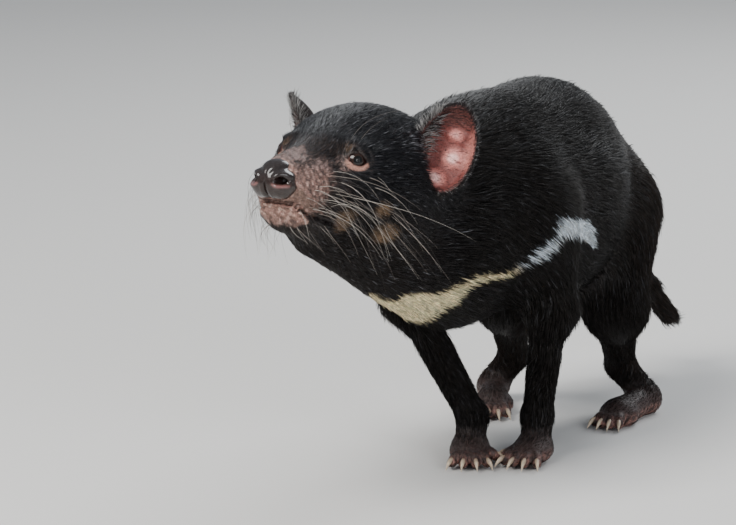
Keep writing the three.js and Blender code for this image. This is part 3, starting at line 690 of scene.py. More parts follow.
def marks(p):
    q = to_head(p)
    m = {"white": np.zeros(len(p)), "blue": np.zeros(len(p))}
    near = np.nonzero((p[:, 1] < -20) & (p[:, 2] > 90) & (p[:, 2] < 205))[0]
    if len(near):
        best, across = chest_mark(p[near])
        for place, half in zip(band, band_half):
            best = np.minimum(best, np.linalg.norm(p[near] - place, axis=1) - half)
        best += noise(p[near], 6, 3)
        m["white"][near] = 1 - ramp(best, -1.2, 1.0)
        m["blue"][near] = np.maximum(ramp(across, 24, 36), 1 - ramp(across, -96, -84))
    m["tan"] = 0.85 * spots(q, [(30, -69, -45, 13), (49, -51, -34, 9), (43, -35, -51, 14)])
    m["tan"] = np.maximum(m["tan"], 0.45 * spots(q, [(27, -73, 10, 6), (66, 2, -22, 9)]))
    edge = q + 2.2 * np.stack([noise(p, 7, s) for s in (31, 32, 33)], 1)
    muzzle = spots(edge, [(0, -128, -24, 33), (11, -114, -27, 27), (18, -100, -22, 23), (17, -95, -14, 16),
                          (0, -108, -2, 18), (4, -112, -42, 15), (12, -107, -43, 11)])
    m["bare"] = np.maximum(muzzle, 0.55 * spots(edge, [(27, -75, -4, 9)]))
    m["brown"] = spots(edge, [(12, -92, 0, 26), (20, -86, -22, 24), (10, -96, -40, 24), (24, -76, 2, 16)])
    lids = np.zeros(len(p))
    for eye in EYES.values():
        a, b, g = in_eye(eye, p)
        r = np.sqrt((a / 1.4) ** 2 + ((b + 2.2) / 0.9) ** 2)
        lids = np.maximum(lids, (1 - ramp(r, 4.7, 6.8)) * (1 - ramp(b + 0.25 * a, -0.5, 2.5)) * (g > 0))
    m["lids"] = lids
    m["muzzle"] = muzzle
    m["feet"] = 1 - ramp(p[:, 2], 12, 30)
    m["silver"] = 0.03 + 0.30 * spots(q, [(54, -14, 20, 24)]) + 0.05 * spots(q, [(0, -30, 30, 60)])
    m["silver"] *= 1 - ramp(q[:, 1], 20, 70) * 0.8
    m["rump"] = ramp(p[:, 1], 20, 110)
    return m


print("Markings cover", {name: round(float(value.mean()), 3) for name, value in marks(points).items()})

# %% [markdown]
# The skin under the coat is nearly black. Where no hair covers it, on the muzzle, lids and toes, it is a
# mottled pink with darker pores. Its colours are kept on its points, and fine mottling comes from noise in
# the material, as no picture may be used.

# %% The skin's colours
def mix(a, b, t):
    return a + (np.asarray(b) - a) * t[:, None]


def skin_colours(p):
    m = marks(p)
    q = to_head(p)
    c = np.tile([0.018, 0.014, 0.014], (len(p), 1))
    c = mix(c, [0.60, 0.46, 0.29], m["white"] * 0.85)
    c = mix(c, [0.10, 0.058, 0.040], m["tan"])
    patchy = ramp(0.5 * noise(p, 6, 5) + 0.5 * noise(p, 2.6, 6), -0.7, 0.7)
    pale_spots = ramp(noise(p, 3.4, 8), 0.35, 0.95)
    c = mix(c, [0.115, 0.070, 0.060], m["bare"] * 0.9)
    c = mix(c, [0.33, 0.190, 0.155], m["bare"] * patchy)
    c = mix(c, [0.60, 0.39, 0.33], m["bare"] * pale_spots * ramp(-q[:, 1], 80, 92) * 0.85)
    # painted sheen: the bare skin over the top of the muzzle is painted greyer
    bridge = ramp(q[:, 2] + 0.10 * q[:, 1], -24, -11)
    c = mix(c, [0.10, 0.074, 0.070], bridge * m["bare"] * 0.8)
    c = mix(c, [0.27, 0.195, 0.180], bridge * m["bare"] * patchy * 0.6)
    c = mix(c, [0.40, 0.205, 0.155], m["lids"] * 0.9)
    above, much = past_lips(q)
    c = mix(c, [0.19, 0.115, 0.085], much * ramp(above, 0.5, 3) * (1 - ramp(above, 8, 13)) * m["muzzle"] * 0.7)
    lip = much * np.exp(-(((above + 3.5) / 3.5) ** 2)) * m["muzzle"]
    c = mix(c, [0.42, 0.225, 0.175], lip * (0.4 + 0.5 * patchy))
    c = mix(c, [0.66, 0.44, 0.36], lip * pale_spots * 0.8)
    # painted shade: a near-black line along the crease of the mouth, at the front
    c = mix(c, [0.010, 0.005, 0.005], much * np.exp(-((above / 1.1) ** 2)) * ramp(-q[:, 1], 74, 84))
    toes = np.clip(0.5 + 0.6 * noise(p, 7, 9), 0, 1) * m["feet"]
    c = mix(c, [0.060, 0.040, 0.037], m["feet"])
    c = mix(c, [0.40, 0.20, 0.16], toes * ramp(-p[:, 2], -13, -5) * 0.85)
    for eye in EYES.values():
        opening, g = lid_opening(eye, p)
        a, b, _ = in_eye(eye, p)
        close = (g > 2) * (np.linalg.norm(p - eye["centre"], axis=1) < 14)
        above_eye = ramp(b + 0.25 * a, 0, 2) * (1 - ramp(np.hypot(a / 1.5, b), 6, 9)) * close
        c = mix(c, [0.022, 0.016, 0.014], above_eye * 0.9)
        rim = np.exp(-((opening / 0.7) ** 2)) * close
        c = mix(c, [0.016, 0.008, 0.007], rim)
    return np.clip(c, 0, 1)


def ear_colours(ear, local, spread, back):
    x, z = local[:, 0] * ear["side"], local[:, 2]
    fold = ear_folds(x, z)
    # painted shade and light: the inside of the ear is coloured by the height of its folds, darkest in the valleys
    # between them and lightest on their ridges
    c = np.tile([0.155, 0.042, 0.036], (len(local), 1))
    c = mix(c, [0.50, 0.185, 0.160], ramp(fold, 0.7, 2.4))
    c = mix(c, [0.80, 0.46, 0.42], ramp(fold, 2.5, 4.5))
    c = mix(c, [0.50, 0.19, 0.16], ramp(x, 10, 16) * ramp(z, -14, -4) * ramp(-z, -24, -14) * 0.7)
    c = mix(c, [0.115, 0.042, 0.036], ramp(z, 15, 22) * 0.85)
    c = mix(c, [0.055, 0.027, 0.024], ramp(-x, 9, 15) * ramp(z, -18, -10) * 0.85)
    c = mix(c, [0.085, 0.045, 0.042], ramp(spread, 0.93, 1.0) * 0.8)
    if ear["side"] < 0:  # only the hairy edge of the right ear's cup can be seen
        c = mix(c, [0.045, 0.026, 0.024], ramp(x, 2, 12) * 0.85)
    return np.where(back[:, None], [0.03, 0.021, 0.020], np.clip(c, 0, 1))


colours = skin_colours(points)
print("Skin colours from", colours.min(0).round(3), "to", colours.max(0).round(3))

# %% [markdown]
# The export bakes every finish onto a map named OFBake, so skin and tufts need places on one. The skin is
# unrolled by its own shape: round the spine for the trunk, round the skull, each leg and the tail, and flat
# for the ears. An automatic unwrap would work too, but tufts couldn't ask it for the place of their roots.

# %% Unrolling the skin
CHARTS = {  # left, bottom, width and height on the map
    "trunk": (0.01, 0.01, 0.48, 0.60), "head": (0.51, 0.01, 0.48, 0.42), "tail": (0.01, 0.63, 0.30, 0.16),
    "fore_left": (0.51, 0.45, 0.23, 0.17), "fore_right": (0.76, 0.45, 0.23, 0.17),
    "hind_left": (0.51, 0.64, 0.23, 0.17), "hind_right": (0.76, 0.64, 0.23, 0.17),
    "ear_left": (0.01, 0.81, 0.15, 0.17), "back_left": (0.18, 0.81, 0.15, 0.17),
    "ear_right": (0.35, 0.83, 0.15, 0.16), "back_right": (0.52, 0.83, 0.15, 0.16),
}
REGIONS = list(CHARTS)
TAIL, FORE_LEFT, FORE_RIGHT, HIND_LEFT, HIND_RIGHT = range(2, 7)  # the numbers of some regions
region_forms = {"trunk": blend(trunk + neck), "head": blend(head), "tail": blend(tail),
                **{name: blend(forms) for name, forms in legs.items()}}


def region_of(p):
    d = np.stack([spread_out(region_forms[name], p) for name in REGIONS[:7]], 1)
    d[:, 1] += np.where(to_head(p)[:, 1] > 45, 30, 0)
    return d.argmin(1)


def unrolled(p, region):
    """How far along its part of the body a place is, and round it in turns, both from 0 to 1."""
    along, turn = np.zeros(len(p)), np.zeros(len(p))
    for number, name in enumerate(REGIONS[:7]):
        pick = region == number
        x, y, z = p[pick].T
        if name == "trunk":
            angle = np.arctan2(HIP_Y - y, x + RADIUS)
            behind = y > HIP_Y
            along[pick] = np.where(behind, (HIP_Y - y) / HIP_TO_SHOULDER, angle / BEND) * 0.45 + 0.3
            left = np.where(behind, x, np.hypot(HIP_Y - y, x + RADIUS) - RADIUS)
            turn[pick] = np.arctan2(z - 180, left)
        elif name == "head":
            q = to_head(p[pick])
            along[pick] = (q[:, 1] + 135) / 205
            turn[pick] = np.arctan2(q[:, 2] + 18, q[:, 0])
        elif name == "tail":
            near = ((p[pick][:, None] - tail_line[None]) ** 2).sum(2).argmin(1)
            along[pick] = near / 60
            away = p[pick] - tail_line[near]
            turn[pick] = np.arctan2(away[:, 1] + away[:, 2], away[:, 0])
        else:
            leg = LEGS[name]
            line = np.array([leg["foot"], leg["wrist"], leg["elbow"], leg["root"]], float)
            along[pick] = z / 210
            middle_x, middle_y = np.interp(z, line[:, 2], line[:, 0]), np.interp(z, line[:, 2], line[:, 1])
            turn[pick] = np.arctan2(y - middle_y, x - middle_x)
    return np.clip(along, 0, 1), turn / (2 * np.pi) + 0.5


def on_map(along, turn, region):
    box = np.array([CHARTS[name] for name in REGIONS])[region]
    return np.stack([box[:, 0] + box[:, 2] * along, box[:, 1] + box[:, 3] * (0.04 + 0.92 * turn)], 1)


def skin_map(p, loops, starts, region):
    """Map places for each corner of each face. A face across the seam keeps its corners together."""
    face = np.repeat(np.arange(len(starts)), np.diff(np.append(starts, len(loops))))
    along, turn = unrolled(p[loops], region[face])
    first = turn[starts][face]
    turn = turn - np.round(turn - first)
    return on_map(along, np.clip(turn, -0.03, 1.03), region[face])


# %% [markdown]
# One mesh holds the skin of the whole animal with its ears. A small helper makes a mesh straight from arrays,
# which is far quicker than adding hundreds of thousands of faces one at a time.

# %% Making the skin
def make_piece(name, points, loops, starts, material, colours, uv=None):
    mesh = bpy.data.meshes.new(name)
    mesh.vertices.add(len(points))
    mesh.vertices.foreach_set("co", ((points + SHIFT) * 0.001).astype(np.float32).ravel())
    mesh.loops.add(len(loops))
    mesh.loops.foreach_set("vertex_index", loops.astype(np.int32))
    mesh.polygons.add(len(starts))
    mesh.polygons.foreach_set("loop_start", starts.astype(np.int32))
    mesh.update(calc_edges=True)
    mesh.shade_smooth()
    layer = mesh.color_attributes.new("Tone", "FLOAT_COLOR", "POINT")
    rgba = np.ones((len(points), 4), np.float32)
    rgba[:, :3] = colours
    layer.data.foreach_set("color", rgba.ravel())
    if uv is not None:
        layer = mesh.uv_layers.new(name="OFBake")
        layer.data.foreach_set("uv", uv.astype(np.float32).ravel())
    mesh.materials.append(material)
    piece = bpy.data.objects.new(name, mesh)
    bpy.context.scene.collection.objects.link(piece)
    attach(piece, "root")
    return piece


def new_material(name, roughness, specular=0.5, **sockets):
    material = bpy.data.materials.new(name)
    material.use_nodes = True
    shader = material.node_tree.nodes["Principled BSDF"]
    shader.inputs["Roughness"].default_value = roughness
    shader.inputs["Specular IOR Level"].default_value = specular
    for socket, value in sockets.items():
        shader.inputs[socket.replace("_", " ")].default_value = value
    return material, material.node_tree.nodes, material.node_tree.links, shader


def speckled(nodes, links, colour, scale, low, high, detail=3.0):
    """Multiplies a colour by fine noise in the object's own coordinates."""
    place = nodes.new("ShaderNodeTexCoord")
    fleck = nodes.new("ShaderNodeTexNoise")
    fleck.inputs["Scale"].default_value = scale
    fleck.inputs["Detail"].default_value = detail
    links.new(place.outputs["Object"], fleck.inputs["Vector"])
    spread = nodes.new("ShaderNodeMapRange")
    spread.inputs["From Min"].default_value = 0.35
    spread.inputs["From Max"].default_value = 0.65
    spread.inputs["To Min"].default_value = low
    spread.inputs["To Max"].default_value = high
    links.new(fleck.outputs["Fac"], spread.inputs["Value"])
    multiply = nodes.new("ShaderNodeVectorMath")
    multiply.operation = "SCALE"
    links.new(colour, multiply.inputs[0])
    links.new(spread.outputs["Result"], multiply.inputs["Scale"])
    return multiply.outputs[0], fleck


def bumped(nodes, links, shader, height, distance, strength):
    bump = nodes.new("ShaderNodeBump")
    bump.inputs["Distance"].default_value = distance
    bump.inputs["Strength"].default_value = strength
    links.new(height, bump.inputs["Height"])
    links.new(bump.outputs["Normal"], shader.inputs["Normal"])


def toned(name, roughness, specular, grain, pores=None, **sockets):
    """A finish with the points' own colours. grain is its noise, and pores the scale, depth and strength."""
    material, nodes, links, shader = new_material(name, roughness, specular, **sockets)
    tone = nodes.new("ShaderNodeVertexColor")
    tone.layer_name = "Tone"
    colour, fleck = speckled(nodes, links, tone.outputs["Color"], *grain)
    links.new(colour, shader.inputs["Base Color"])
    if pores:
        scale, depth, strength = pores
        cells = nodes.new("ShaderNodeTexVoronoi")
        cells.inputs["Scale"].default_value = scale
        place = nodes.new("ShaderNodeTexCoord")
        links.new(place.outputs["Object"], cells.inputs["Vector"])
        bumped(nodes, links, shader, cells.outputs["Distance"], depth, strength)
    return material, nodes, links, shader, fleck


def skin_material():
    return toned("skin", 0.48, 0.26, (900, 0.72, 1.25), (1100, 0.0005, 0.5), Subsurface_Weight=0.06,
                 Subsurface_Scale=0.004)[0]


parts = [(points, quads, odd, colours, region_of(points[quads].mean(1)), None)]
ear_parts = {}
for name, (p, f, local, spread, back) in ears.items():
    flat = local[:, [0, 2]] / [EAR_WIDTH * 1.1, EAR_HEIGHT * 1.1] + 0.5
    region = np.where(back[f[:, 0]], REGIONS.index("back_" + name), REGIONS.index("ear_" + name))
    parts.append((p, f, [], ear_colours(EARS[name], local, spread, back), region, flat))
    ear_parts[name] = (p, f, local, spread, back, region, flat)

all_points, all_colours, loops, sizes, places = [], [], [], [], []
base = 0
for p, f, more, c, region, flat in parts:
    flat_loops = np.concatenate([f.ravel(), np.array([v for face in more for v in face], int)])
    counts = np.concatenate([np.full(len(f), 4), np.array([len(face) for face in more], int)])
    starts = np.cumsum(counts) - counts
    if flat is None:
        more_regions = region_of(np.array([p[face].mean(0) for face in more]))
        places.append(skin_map(p, flat_loops, starts, np.concatenate([region, more_regions])))
    else:
        places.append(on_map(*flat[flat_loops].T, np.repeat(region, 4)))
    all_points.append(p)
    all_colours.append(c)
    loops.append(flat_loops + base)
    sizes.append(counts)
    base += len(p)
loops, sizes = np.concatenate(loops), np.concatenate(sizes)
skin = make_piece("skin", np.concatenate(all_points), loops, np.cumsum(sizes) - sizes, skin_material(),
                  np.concatenate(all_colours), np.concatenate(places))
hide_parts("head", "lower_jaw", "neck", "torso", "tail", "ear_left", "ear_right", "foreleg_left",
            "foreleg_right", "forepaw_left", "forepaw_right", "hindleg_left", "hindleg_right", "hindfoot_left",
            "hindfoot_right")
print("The skin has", sum(sizes - 2), "triangles")

# %% [markdown]
# The nose is a bare, moist pad with a groove down its middle and nostrils like commas, which open to the
# side. It is drawn as its own form, finer than the face, so that the rims of the nostrils stay crisp.

# %% The nose
pad = blend([
    head_ball(0, -121, -20, [13.5, 11, 12], 4),
    head_ball(7.8, -119.5, -24, [8, 10, 9], 5),
    head_ball(-7.8, -119.5, -24, [8, 10, 9], 5),
    head_ball(0, -112, -11, [10, 12, 6], 6),
])
nostrils = []
for side in (1, -1):
    nostrils.append(bone(in_head(9 * side, -137, -22), in_head(10 * side, -124, -20), 3.4, 3.0, 2))
    nostrils.append(bone(in_head(10 * side, -131, -21.5), in_head(15 * side, -126, -21.5), 3.0, 2.0, 2))
    nostrils.append(bone(in_head(15 * side, -126, -21.5), in_head(17.5 * side, -119, -17), 1.6, 0.8, 1.5))


def nose_field(p):
    q = to_head(p)
    d = pad(p)
    low = ramp(-q[:, 1], 118, 126) * (0.12 + 0.88 * ramp(-q[:, 2], 18, 24))
    d = d + 1.9 * low * np.exp(-((q[:, 0] / 0.9) ** 2)) - 0.6 * low * np.exp(-(((np.abs(q[:, 0]) - 2.9) / 2.0) ** 2))
    for form, k in nostrils:
        d = -melt_in(-d, form(p), k)
    wing = np.hypot(np.abs(q[:, 0]) - 12.5, q[:, 2] + 20.5)
    d = d - 1.1 * np.exp(-(((wing - 5.2) / 1.8) ** 2)) * ramp(-q[:, 1], 110, 117)
    return d + 0.8 * np.exp(-(((wing - 9.5) / 1.6) ** 2)) * ramp(-q[:, 1], 108, 114) * ramp(q[:, 2], -20, -14)


corners = np.array([in_head(x, y, z) for x in (-22, 22) for y in (-138, -98) for z in (-38, 0)])
nose_points, nose_quads = nets(nose_field, corners.min(0), corners.max(0), 0.8)
nose_points, _ = slide(nose_field, smooth(nose_points, nose_quads, 1), 3, 0.4)
q = to_head(nose_points)
hollow = np.min([form(nose_points) for form, k in nostrils], axis=0)
c = np.tile([0.016, 0.0105, 0.0098], (len(q), 1))
c = mix(c, [0.024, 0.0115, 0.0085], ramp(-q[:, 2], 14, 24) * 0.8)
c = mix(c, [0.30, 0.14, 0.13], np.exp(-(((hollow - 0.3) / 1.1) ** 2)) * ramp(-q[:, 2], 22, 24.5) * 0.75)
# painted shade: the insides of the nostrils are darkened to near black
c = mix(c, [0.008, 0.004, 0.004], ramp(-hollow, 0.4, 1.6))


def nose_material():
    return toned("moist_nose", 0.5, 0.12, (700, 0.75, 1.2), (850, 0.0006, 0.7), Coat_Weight=0.9,
                 Coat_Roughness=0.15)[0]


nose = make_piece("nose_pad", nose_points, nose_quads.ravel(), np.arange(len(nose_quads)) * 4, nose_material(), c)
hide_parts("nose")
print("The nose has", len(nose_quads), "quads")

# %% [markdown]
# The eye is dark brown with a wide pupil, so it looks nearly black until light falls into it. A ball with its
# rings of colour set by the angle from the line of sight, a slight bulge for the cornea and a wet coat over
# it does what a full model of lens and iris would.

# %% The eyes
eye_finish = toned("eye", 0.3, 0.1, (1500, 0.8, 1.25), Coat_Weight=1.0, Coat_Roughness=0.02, Coat_IOR=1.4)[0]
for name, eye in EYES.items():
    rings, steps = 40, 48
    lat = np.pi * (np.arange(rings) + 0.5) / rings
    lon = 2 * np.pi * np.arange(steps) / steps
    lat, lon = [a.ravel() for a in np.meshgrid(lat, lon, indexing="ij")]
    r = EYE_RADIUS - 0.1 + 0.45 * np.exp(-((lat / 0.62) ** 4))
    across = eye["across"] * eye["side"]
    p = eye["centre"] + (r * np.sin(lat) * np.cos(lon))[:, None] * across \
        + (r * np.sin(lat) * np.sin(lon))[:, None] * eye["up"] + (r * np.cos(lat))[:, None] * eye["gaze"]
    grid = np.arange(rings * steps).reshape(rings, steps)
    f = np.stack([grid[:-1], grid[1:], np.roll(grid[1:], -1, 1), np.roll(grid[:-1], -1, 1)], -1).reshape(-1, 4)
    if eye["side"] < 0:
        f = f[:, ::-1]
    streak = 0.75 + 0.25 * np.sin(lon * 22) * np.sin(lon * 9)
    c = np.tile([0.060, 0.022, 0.018], (len(p), 1))
    c = mix(c, [0.006, 0.003, 0.003], 1 - ramp(lat, 0.66, 0.74))
    c = mix(c, [0.028, 0.012, 0.007], (1 - ramp(lat, 0.54, 0.62)) * streak)
    c = mix(c, [0.0015, 0.0015, 0.0015], 1 - ramp(lat, 0.34, 0.40))
    caps = np.concatenate([grid[0][::-eye["side"]], grid[-1][::eye["side"]]])
    loops = np.concatenate([f.ravel(), caps])
    starts = np.concatenate([np.arange(len(f)) * 4, [len(f) * 4, len(f) * 4 + steps]])
    ball_piece = make_piece("eyeball_" + name, p, loops, starts, eye_finish, c)
    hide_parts("eye_" + name)
print("Two eyes made")

# %% [markdown]
# Claws are blunt, curved and pale, and can't be drawn back. Each is a tapered tube bent down to the floor,
# deeper than it is wide, as a real claw is.

# %% The claws
def tube(line, radii, sides, flatten=1.0):
    """Points and faces of a tapered tube along a line, open at its thin ends."""
    ahead = unit(np.gradient(line, axis=0))
    across = unit(np.cross([0, 0, 1], ahead))
    upward = np.cross(ahead, across)
    angle = 2 * np.pi * np.arange(sides) / sides
    ring = np.cos(angle)[None, :, None] * across[:, None] + flatten * np.sin(angle)[None, :, None] * upward[:, None]
    p = (line[:, None] + np.asarray(radii)[:, None, None] * ring).reshape(-1, 3)
    grid = np.arange(len(line) * sides).reshape(-1, sides)
    f = np.stack([grid[:-1], np.roll(grid[:-1], -1, 1), np.roll(grid[1:], -1, 1), grid[1:]], -1).reshape(-1, 4)
    return p, f


def claw_material():
    material, nodes, links, shader, fleck = toned("claw_horn", 0.36, 0.5, (500, 0.8, 1.15, 6.0))
    bumped(nodes, links, shader, fleck.outputs["Fac"], 0.0003, 0.6)
    return material


claw_points, claw_faces, claw_colours, base = [], [], [], 0
for leg in LEGS.values():
    for toe in toes_of(leg):
        line = along_curve(toe["claw"], 12)
        t = np.linspace(0, 1, 12)
        p, f = tube(line, 2.1 * (1 - t**1.6) + 0.12, 12, 1.25)
        p[:, 2] = np.maximum(p[:, 2], 0.3)
        claw_points.append(p)
        claw_faces.append(f + base)
        tone = mix(np.tile([0.22, 0.13, 0.09], (12, 1)), [0.62, 0.50, 0.36], ramp(t, 0.1, 0.7))
        claw_colours.append(np.repeat(tone, 12, axis=0))
        base += len(p)
claw_faces = np.concatenate(claw_faces)
claws = make_piece("claws", np.concatenate(claw_points), claw_faces.ravel(), np.arange(len(claw_faces)) * 4,
                   claw_material(), np.concatenate(claw_colours))
print("The claws have", len(claw_faces), "quads")

# %% [markdown]
# Hair lies the way it grows: back from the nose, along the spine, and down the legs and the tail. Each soft
# form has its own direction, and a root mixes the directions of the forms near it. Particle hair has combs
# for this, but it can't be exported, so the lie is worked out here.

# %% The lie of the coat
def back_along_spine(p):
    angle = np.where(p[:, 1] > HIP_Y, 0, np.arctan2(HIP_Y - p[:, 1], p[:, 0] + RADIUS))
    left = np.where(p[:, 1] > HIP_Y, p[:, 0], np.hypot(HIP_Y - p[:, 1], p[:, 0] + RADIUS) - RADIUS)
    down = -0.12 - 0.5 * ramp(np.abs(left), 25, 66) * ramp(-p[:, 2], -240, -120)
    down -= 0.7 * ramp(p[:, 1], 90, 150)
    return unit(np.stack([np.sin(angle), np.cos(angle), down], 1))


def back_over_head(p):
    q = to_head(p)
    way = np.stack([0.12 * np.sign(q[:, 0]) * ramp(np.abs(q[:, 0]), 5, 30), np.ones(len(q)),
                    -0.32 * ramp(-q[:, 2], -5, 45)], 1)
    way[:, 2] += 0.35 * ramp(-q[:, 1], 60, 95) * ramp(q[:, 2], -30, -12)
    for eye in EYES.values():
        away = q - to_head(eye["centre"][None])
        far = np.linalg.norm(away, axis=1)
        way += (away / far[:, None]) * (1.3 * np.exp(-((far / 17) ** 2)))[:, None]
    return unit(way) @ HEAD_AXES.T


def lie_of_coat(p, normal):
    ways = [(blend(trunk), back_along_spine(p)), (blend(neck), back_along_spine(p)), (blend(head), back_over_head(p))]
    for name, leg in LEGS.items():
        upper, lower, wrist, *foot = legs[name]
        root, elbow, ankle = [np.array(leg[k], float) for k in ("root", "elbow", "wrist")]
        toward = on_foot(leg, 0, -20, 2) - on_foot(leg, 0, 12, 14)
        ways += [(upper[0], elbow - root + [0, 14, 0]), (lower[0], ankle - elbow), (wrist[0], toward),
                 (foot[0][0], toward)]
    for i in range(6):
        ways.append((tail[i][0], tail_line[10 * i + 10] - tail_line[10 * i]))
    near = np.stack([spread_out(form, p) for form, way in ways], 1)
    weight = np.exp(-(near - near.min(1, keepdims=True)) / 7)
    total = np.zeros_like(p)
    for i, (form, way) in enumerate(ways):
        total += weight[:, i:i + 1] * unit(np.broadcast_to(way, p.shape))
    swirl = np.stack([noise(p, 55, 11), noise(p, 55, 12), noise(p, 55, 13)], 1)
    total = unit(total) + 0.22 * swirl
    return unit(total - dot(total, normal)[:, None] * normal)


# %% [markdown]
# Roots are spread evenly over the skin, closer together where the hair is finer. Short hair on the face and
# feet is thin and lies almost flat, and the hair of the back, chest and tail is longer and stands up more.

# %% Where tufts grow, and how long they are
rng = np.random.default_rng(29)


def coat_style(p, m, region):
    """Length and width in millimetres, lift in radians, and tufts to a square millimetre."""
    q = to_head(p)
    on_head = 1 - ramp(q[:, 1], -20, 50)
    face = 1 - ramp(q[:, 1], -88, -45)
    length = 13.5 - 6.0 * on_head - 3.2 * face
    width = 0.95 - 0.32 * on_head - 0.20 * face
    lift = 0.23 - 0.03 * on_head - 0.04 * face
    dense = 0.62 + 0.75 * on_head + 0.85 * face
    low = np.where(region >= FORE_LEFT, 1 - ramp(p[:, 2], 30, 115), 0)
    length, width, dense = length - 7.5 * low, width - 0.35 * low, dense + 0.55 * low
    feet = m["feet"]
    length, width = length * (1 - 0.5 * feet), width * (1 - 0.35 * feet)
    dense = dense * (1 - 0.55 * feet)
    length -= 1.5 * m["white"]
    lift += 0.06 * m["white"]
    tailed = ramp(p[:, 1], 140, 180)
    length -= 1.5 * tailed
    bare = np.maximum(m["bare"], m["lids"])
    length = length * (1 - 0.52 * bare)
    width = width * (1 - 0.45 * bare)
    dense = dense * (1 - 0.45 * bare) * (1 - 0.75 * m["lids"])
    return length, width, lift, dense


def scatter(points, normals, quads, dense):
    """Roots over quads: systematic along the list of faces, and at random within each."""
    corners = points[quads]
    area = 0.5 * np.linalg.norm(np.cross(corners[:, 2] - corners[:, 0], corners[:, 3] - corners[:, 1]), axis=1)
    total = np.cumsum(area * dense)
    count = int(total[-1])
    face = np.searchsorted(total, (np.arange(count) + rng.random(count)) / count * total[-1])
    face = np.minimum(face, len(quads) - 1)
    u, v = rng.random((2, count, 1))
    weights = [(1 - u) * (1 - v), u * (1 - v), u * v, (1 - u) * v]
    root = sum(w * corners[face, i] for i, w in enumerate(weights))
    normal = unit(sum(w * normals[quads[face, i]] for i, w in enumerate(weights)))
    return root, normal, face


THINNED = 1.0
face_region = parts[0][4]
face_middle = points[quads].mean(1)
face_marks = marks(face_middle)
dense = coat_style(face_middle, face_marks, face_region)[3]
q = to_head(face_middle)
on_nose = (spread_out(nose_field, face_middle) < 1.2) & (q[:, 1] < -95)
in_slot = np.zeros(len(quads), bool)
for eye in EYES.values():
    opening, g = lid_opening(eye, face_middle)
    in_slot |= (opening < 1.6) & (g > 0) & (np.linalg.norm(face_middle - eye["centre"], axis=1) < 14)
above, much = past_lips(q)
in_mouth = (np.abs(above - 0.4) < 1.7) & (much > 0.2) & (q[:, 1] < -60)
in_ear = np.min([spread_out(hollow, face_middle) for hollow, k in hollows], axis=0) < 2.4
dense[on_nose | in_slot | in_mouth | in_ear | (face_middle[:, 2] < 1.0)] = 0
root, normal, face = scatter(points, normals, quads, dense * THINNED)
root_region = face_region[face]
print(len(root), "roots on the body")

# %% [markdown]
# Up close a devil's black coat isn't one black. Single hairs are silver on the head and the rump is browner.
# The head's hair has a bluish tone, a painted sheen of sky light, and each tuft is painted darker at its root
# and lighter at its tip, as painted shade and light. Each tuft gets its own tone from the markings under its
# outer part, because that part shows, while its root is hidden by the tufts in front of it.

# %% The coat's colours
def coat_colours(p, m):
    n = len(p)
    tone = np.tile([0.0098, 0.0080, 0.0072], (n, 1))
    q = to_head(p)
    on_head = 1 - ramp(q[:, 1], 0, 60)
    low = ramp(-q[:, 2], 10, 60) * on_head
    # painted reflection: the head's hair gets a bluish tone that stands in for a sheen of sky light
    tone = mix(tone, [0.015, 0.0155, 0.019], on_head * 0.8)
    tone = mix(tone, [0.014, 0.0095, 0.0075], low * 0.8)
    tone = mix(tone, [0.019, 0.012, 0.009], m["rump"] * 0.8)
    tone *= 0.5 + rng.random((n, 1))
    tone = mix(tone, [0.050, 0.050, 0.054], (rng.random(n) < 0.08) * 0.7)
    tone = mix(tone, [0.075, 0.052, 0.044], m["brown"] * (rng.random(n) < 0.55) * 0.75)
    silver = rng.random(n) < m["silver"] * on_head * (1 - m["bare"])
    tone = mix(tone, [0.20, 0.20, 0.215], silver * (0.3 + 0.7 * rng.random(n)))
    tan = np.clip(m["tan"] * 1.2 - 0.5 * rng.random(n), 0, 1)
    tone = mix(tone, [0.27, 0.175, 0.105], tan)
    pick = rng.random(n)
    bare = m["bare"]
    bridge = ramp(q[:, 2] + 0.10 * q[:, 1], -28, -15)
    tone = mix(tone, [0.40, 0.31, 0.25], bare * (pick < 0.25) * 0.85 * (1 - 0.6 * bridge))
    tone = mix(tone, [0.15, 0.095, 0.075], bare * (pick > 0.25) * (pick < 0.55) * 0.85 * (1 - 0.6 * bridge))
    tone = mix(tone, [0.045, 0.032, 0.030], bare * (pick > 0.55) * 0.8)
    tone = mix(tone, [0.50, 0.36, 0.28], m["lids"] * (pick < 0.35) * 0.7)
    cream = np.clip(m["white"] * 1.35 - 0.35 * rng.random(n), 0, 1)
    pale = mix(np.tile([0.98, 0.82, 0.52], (n, 1)), [0.74, 0.82, 0.90], m["blue"])
    pale *= 0.82 + 0.28 * rng.random((n, 1))
    tone = tone + (pale - tone) * cream[:, None]
    feet = m["feet"] * (pick < 0.5)
    return np.clip(mix(tone, [0.060, 0.039, 0.034], feet * 0.7), 0, 1)


# %% [markdown]
# A tuft is a thin spike of three sides. The short ones are straight and cost three triangles, and a third of
# the long ones have a middle ring as well and bend back down to the coat. Neighbours lean towards a shared
# point, which parts the coat into small locks.

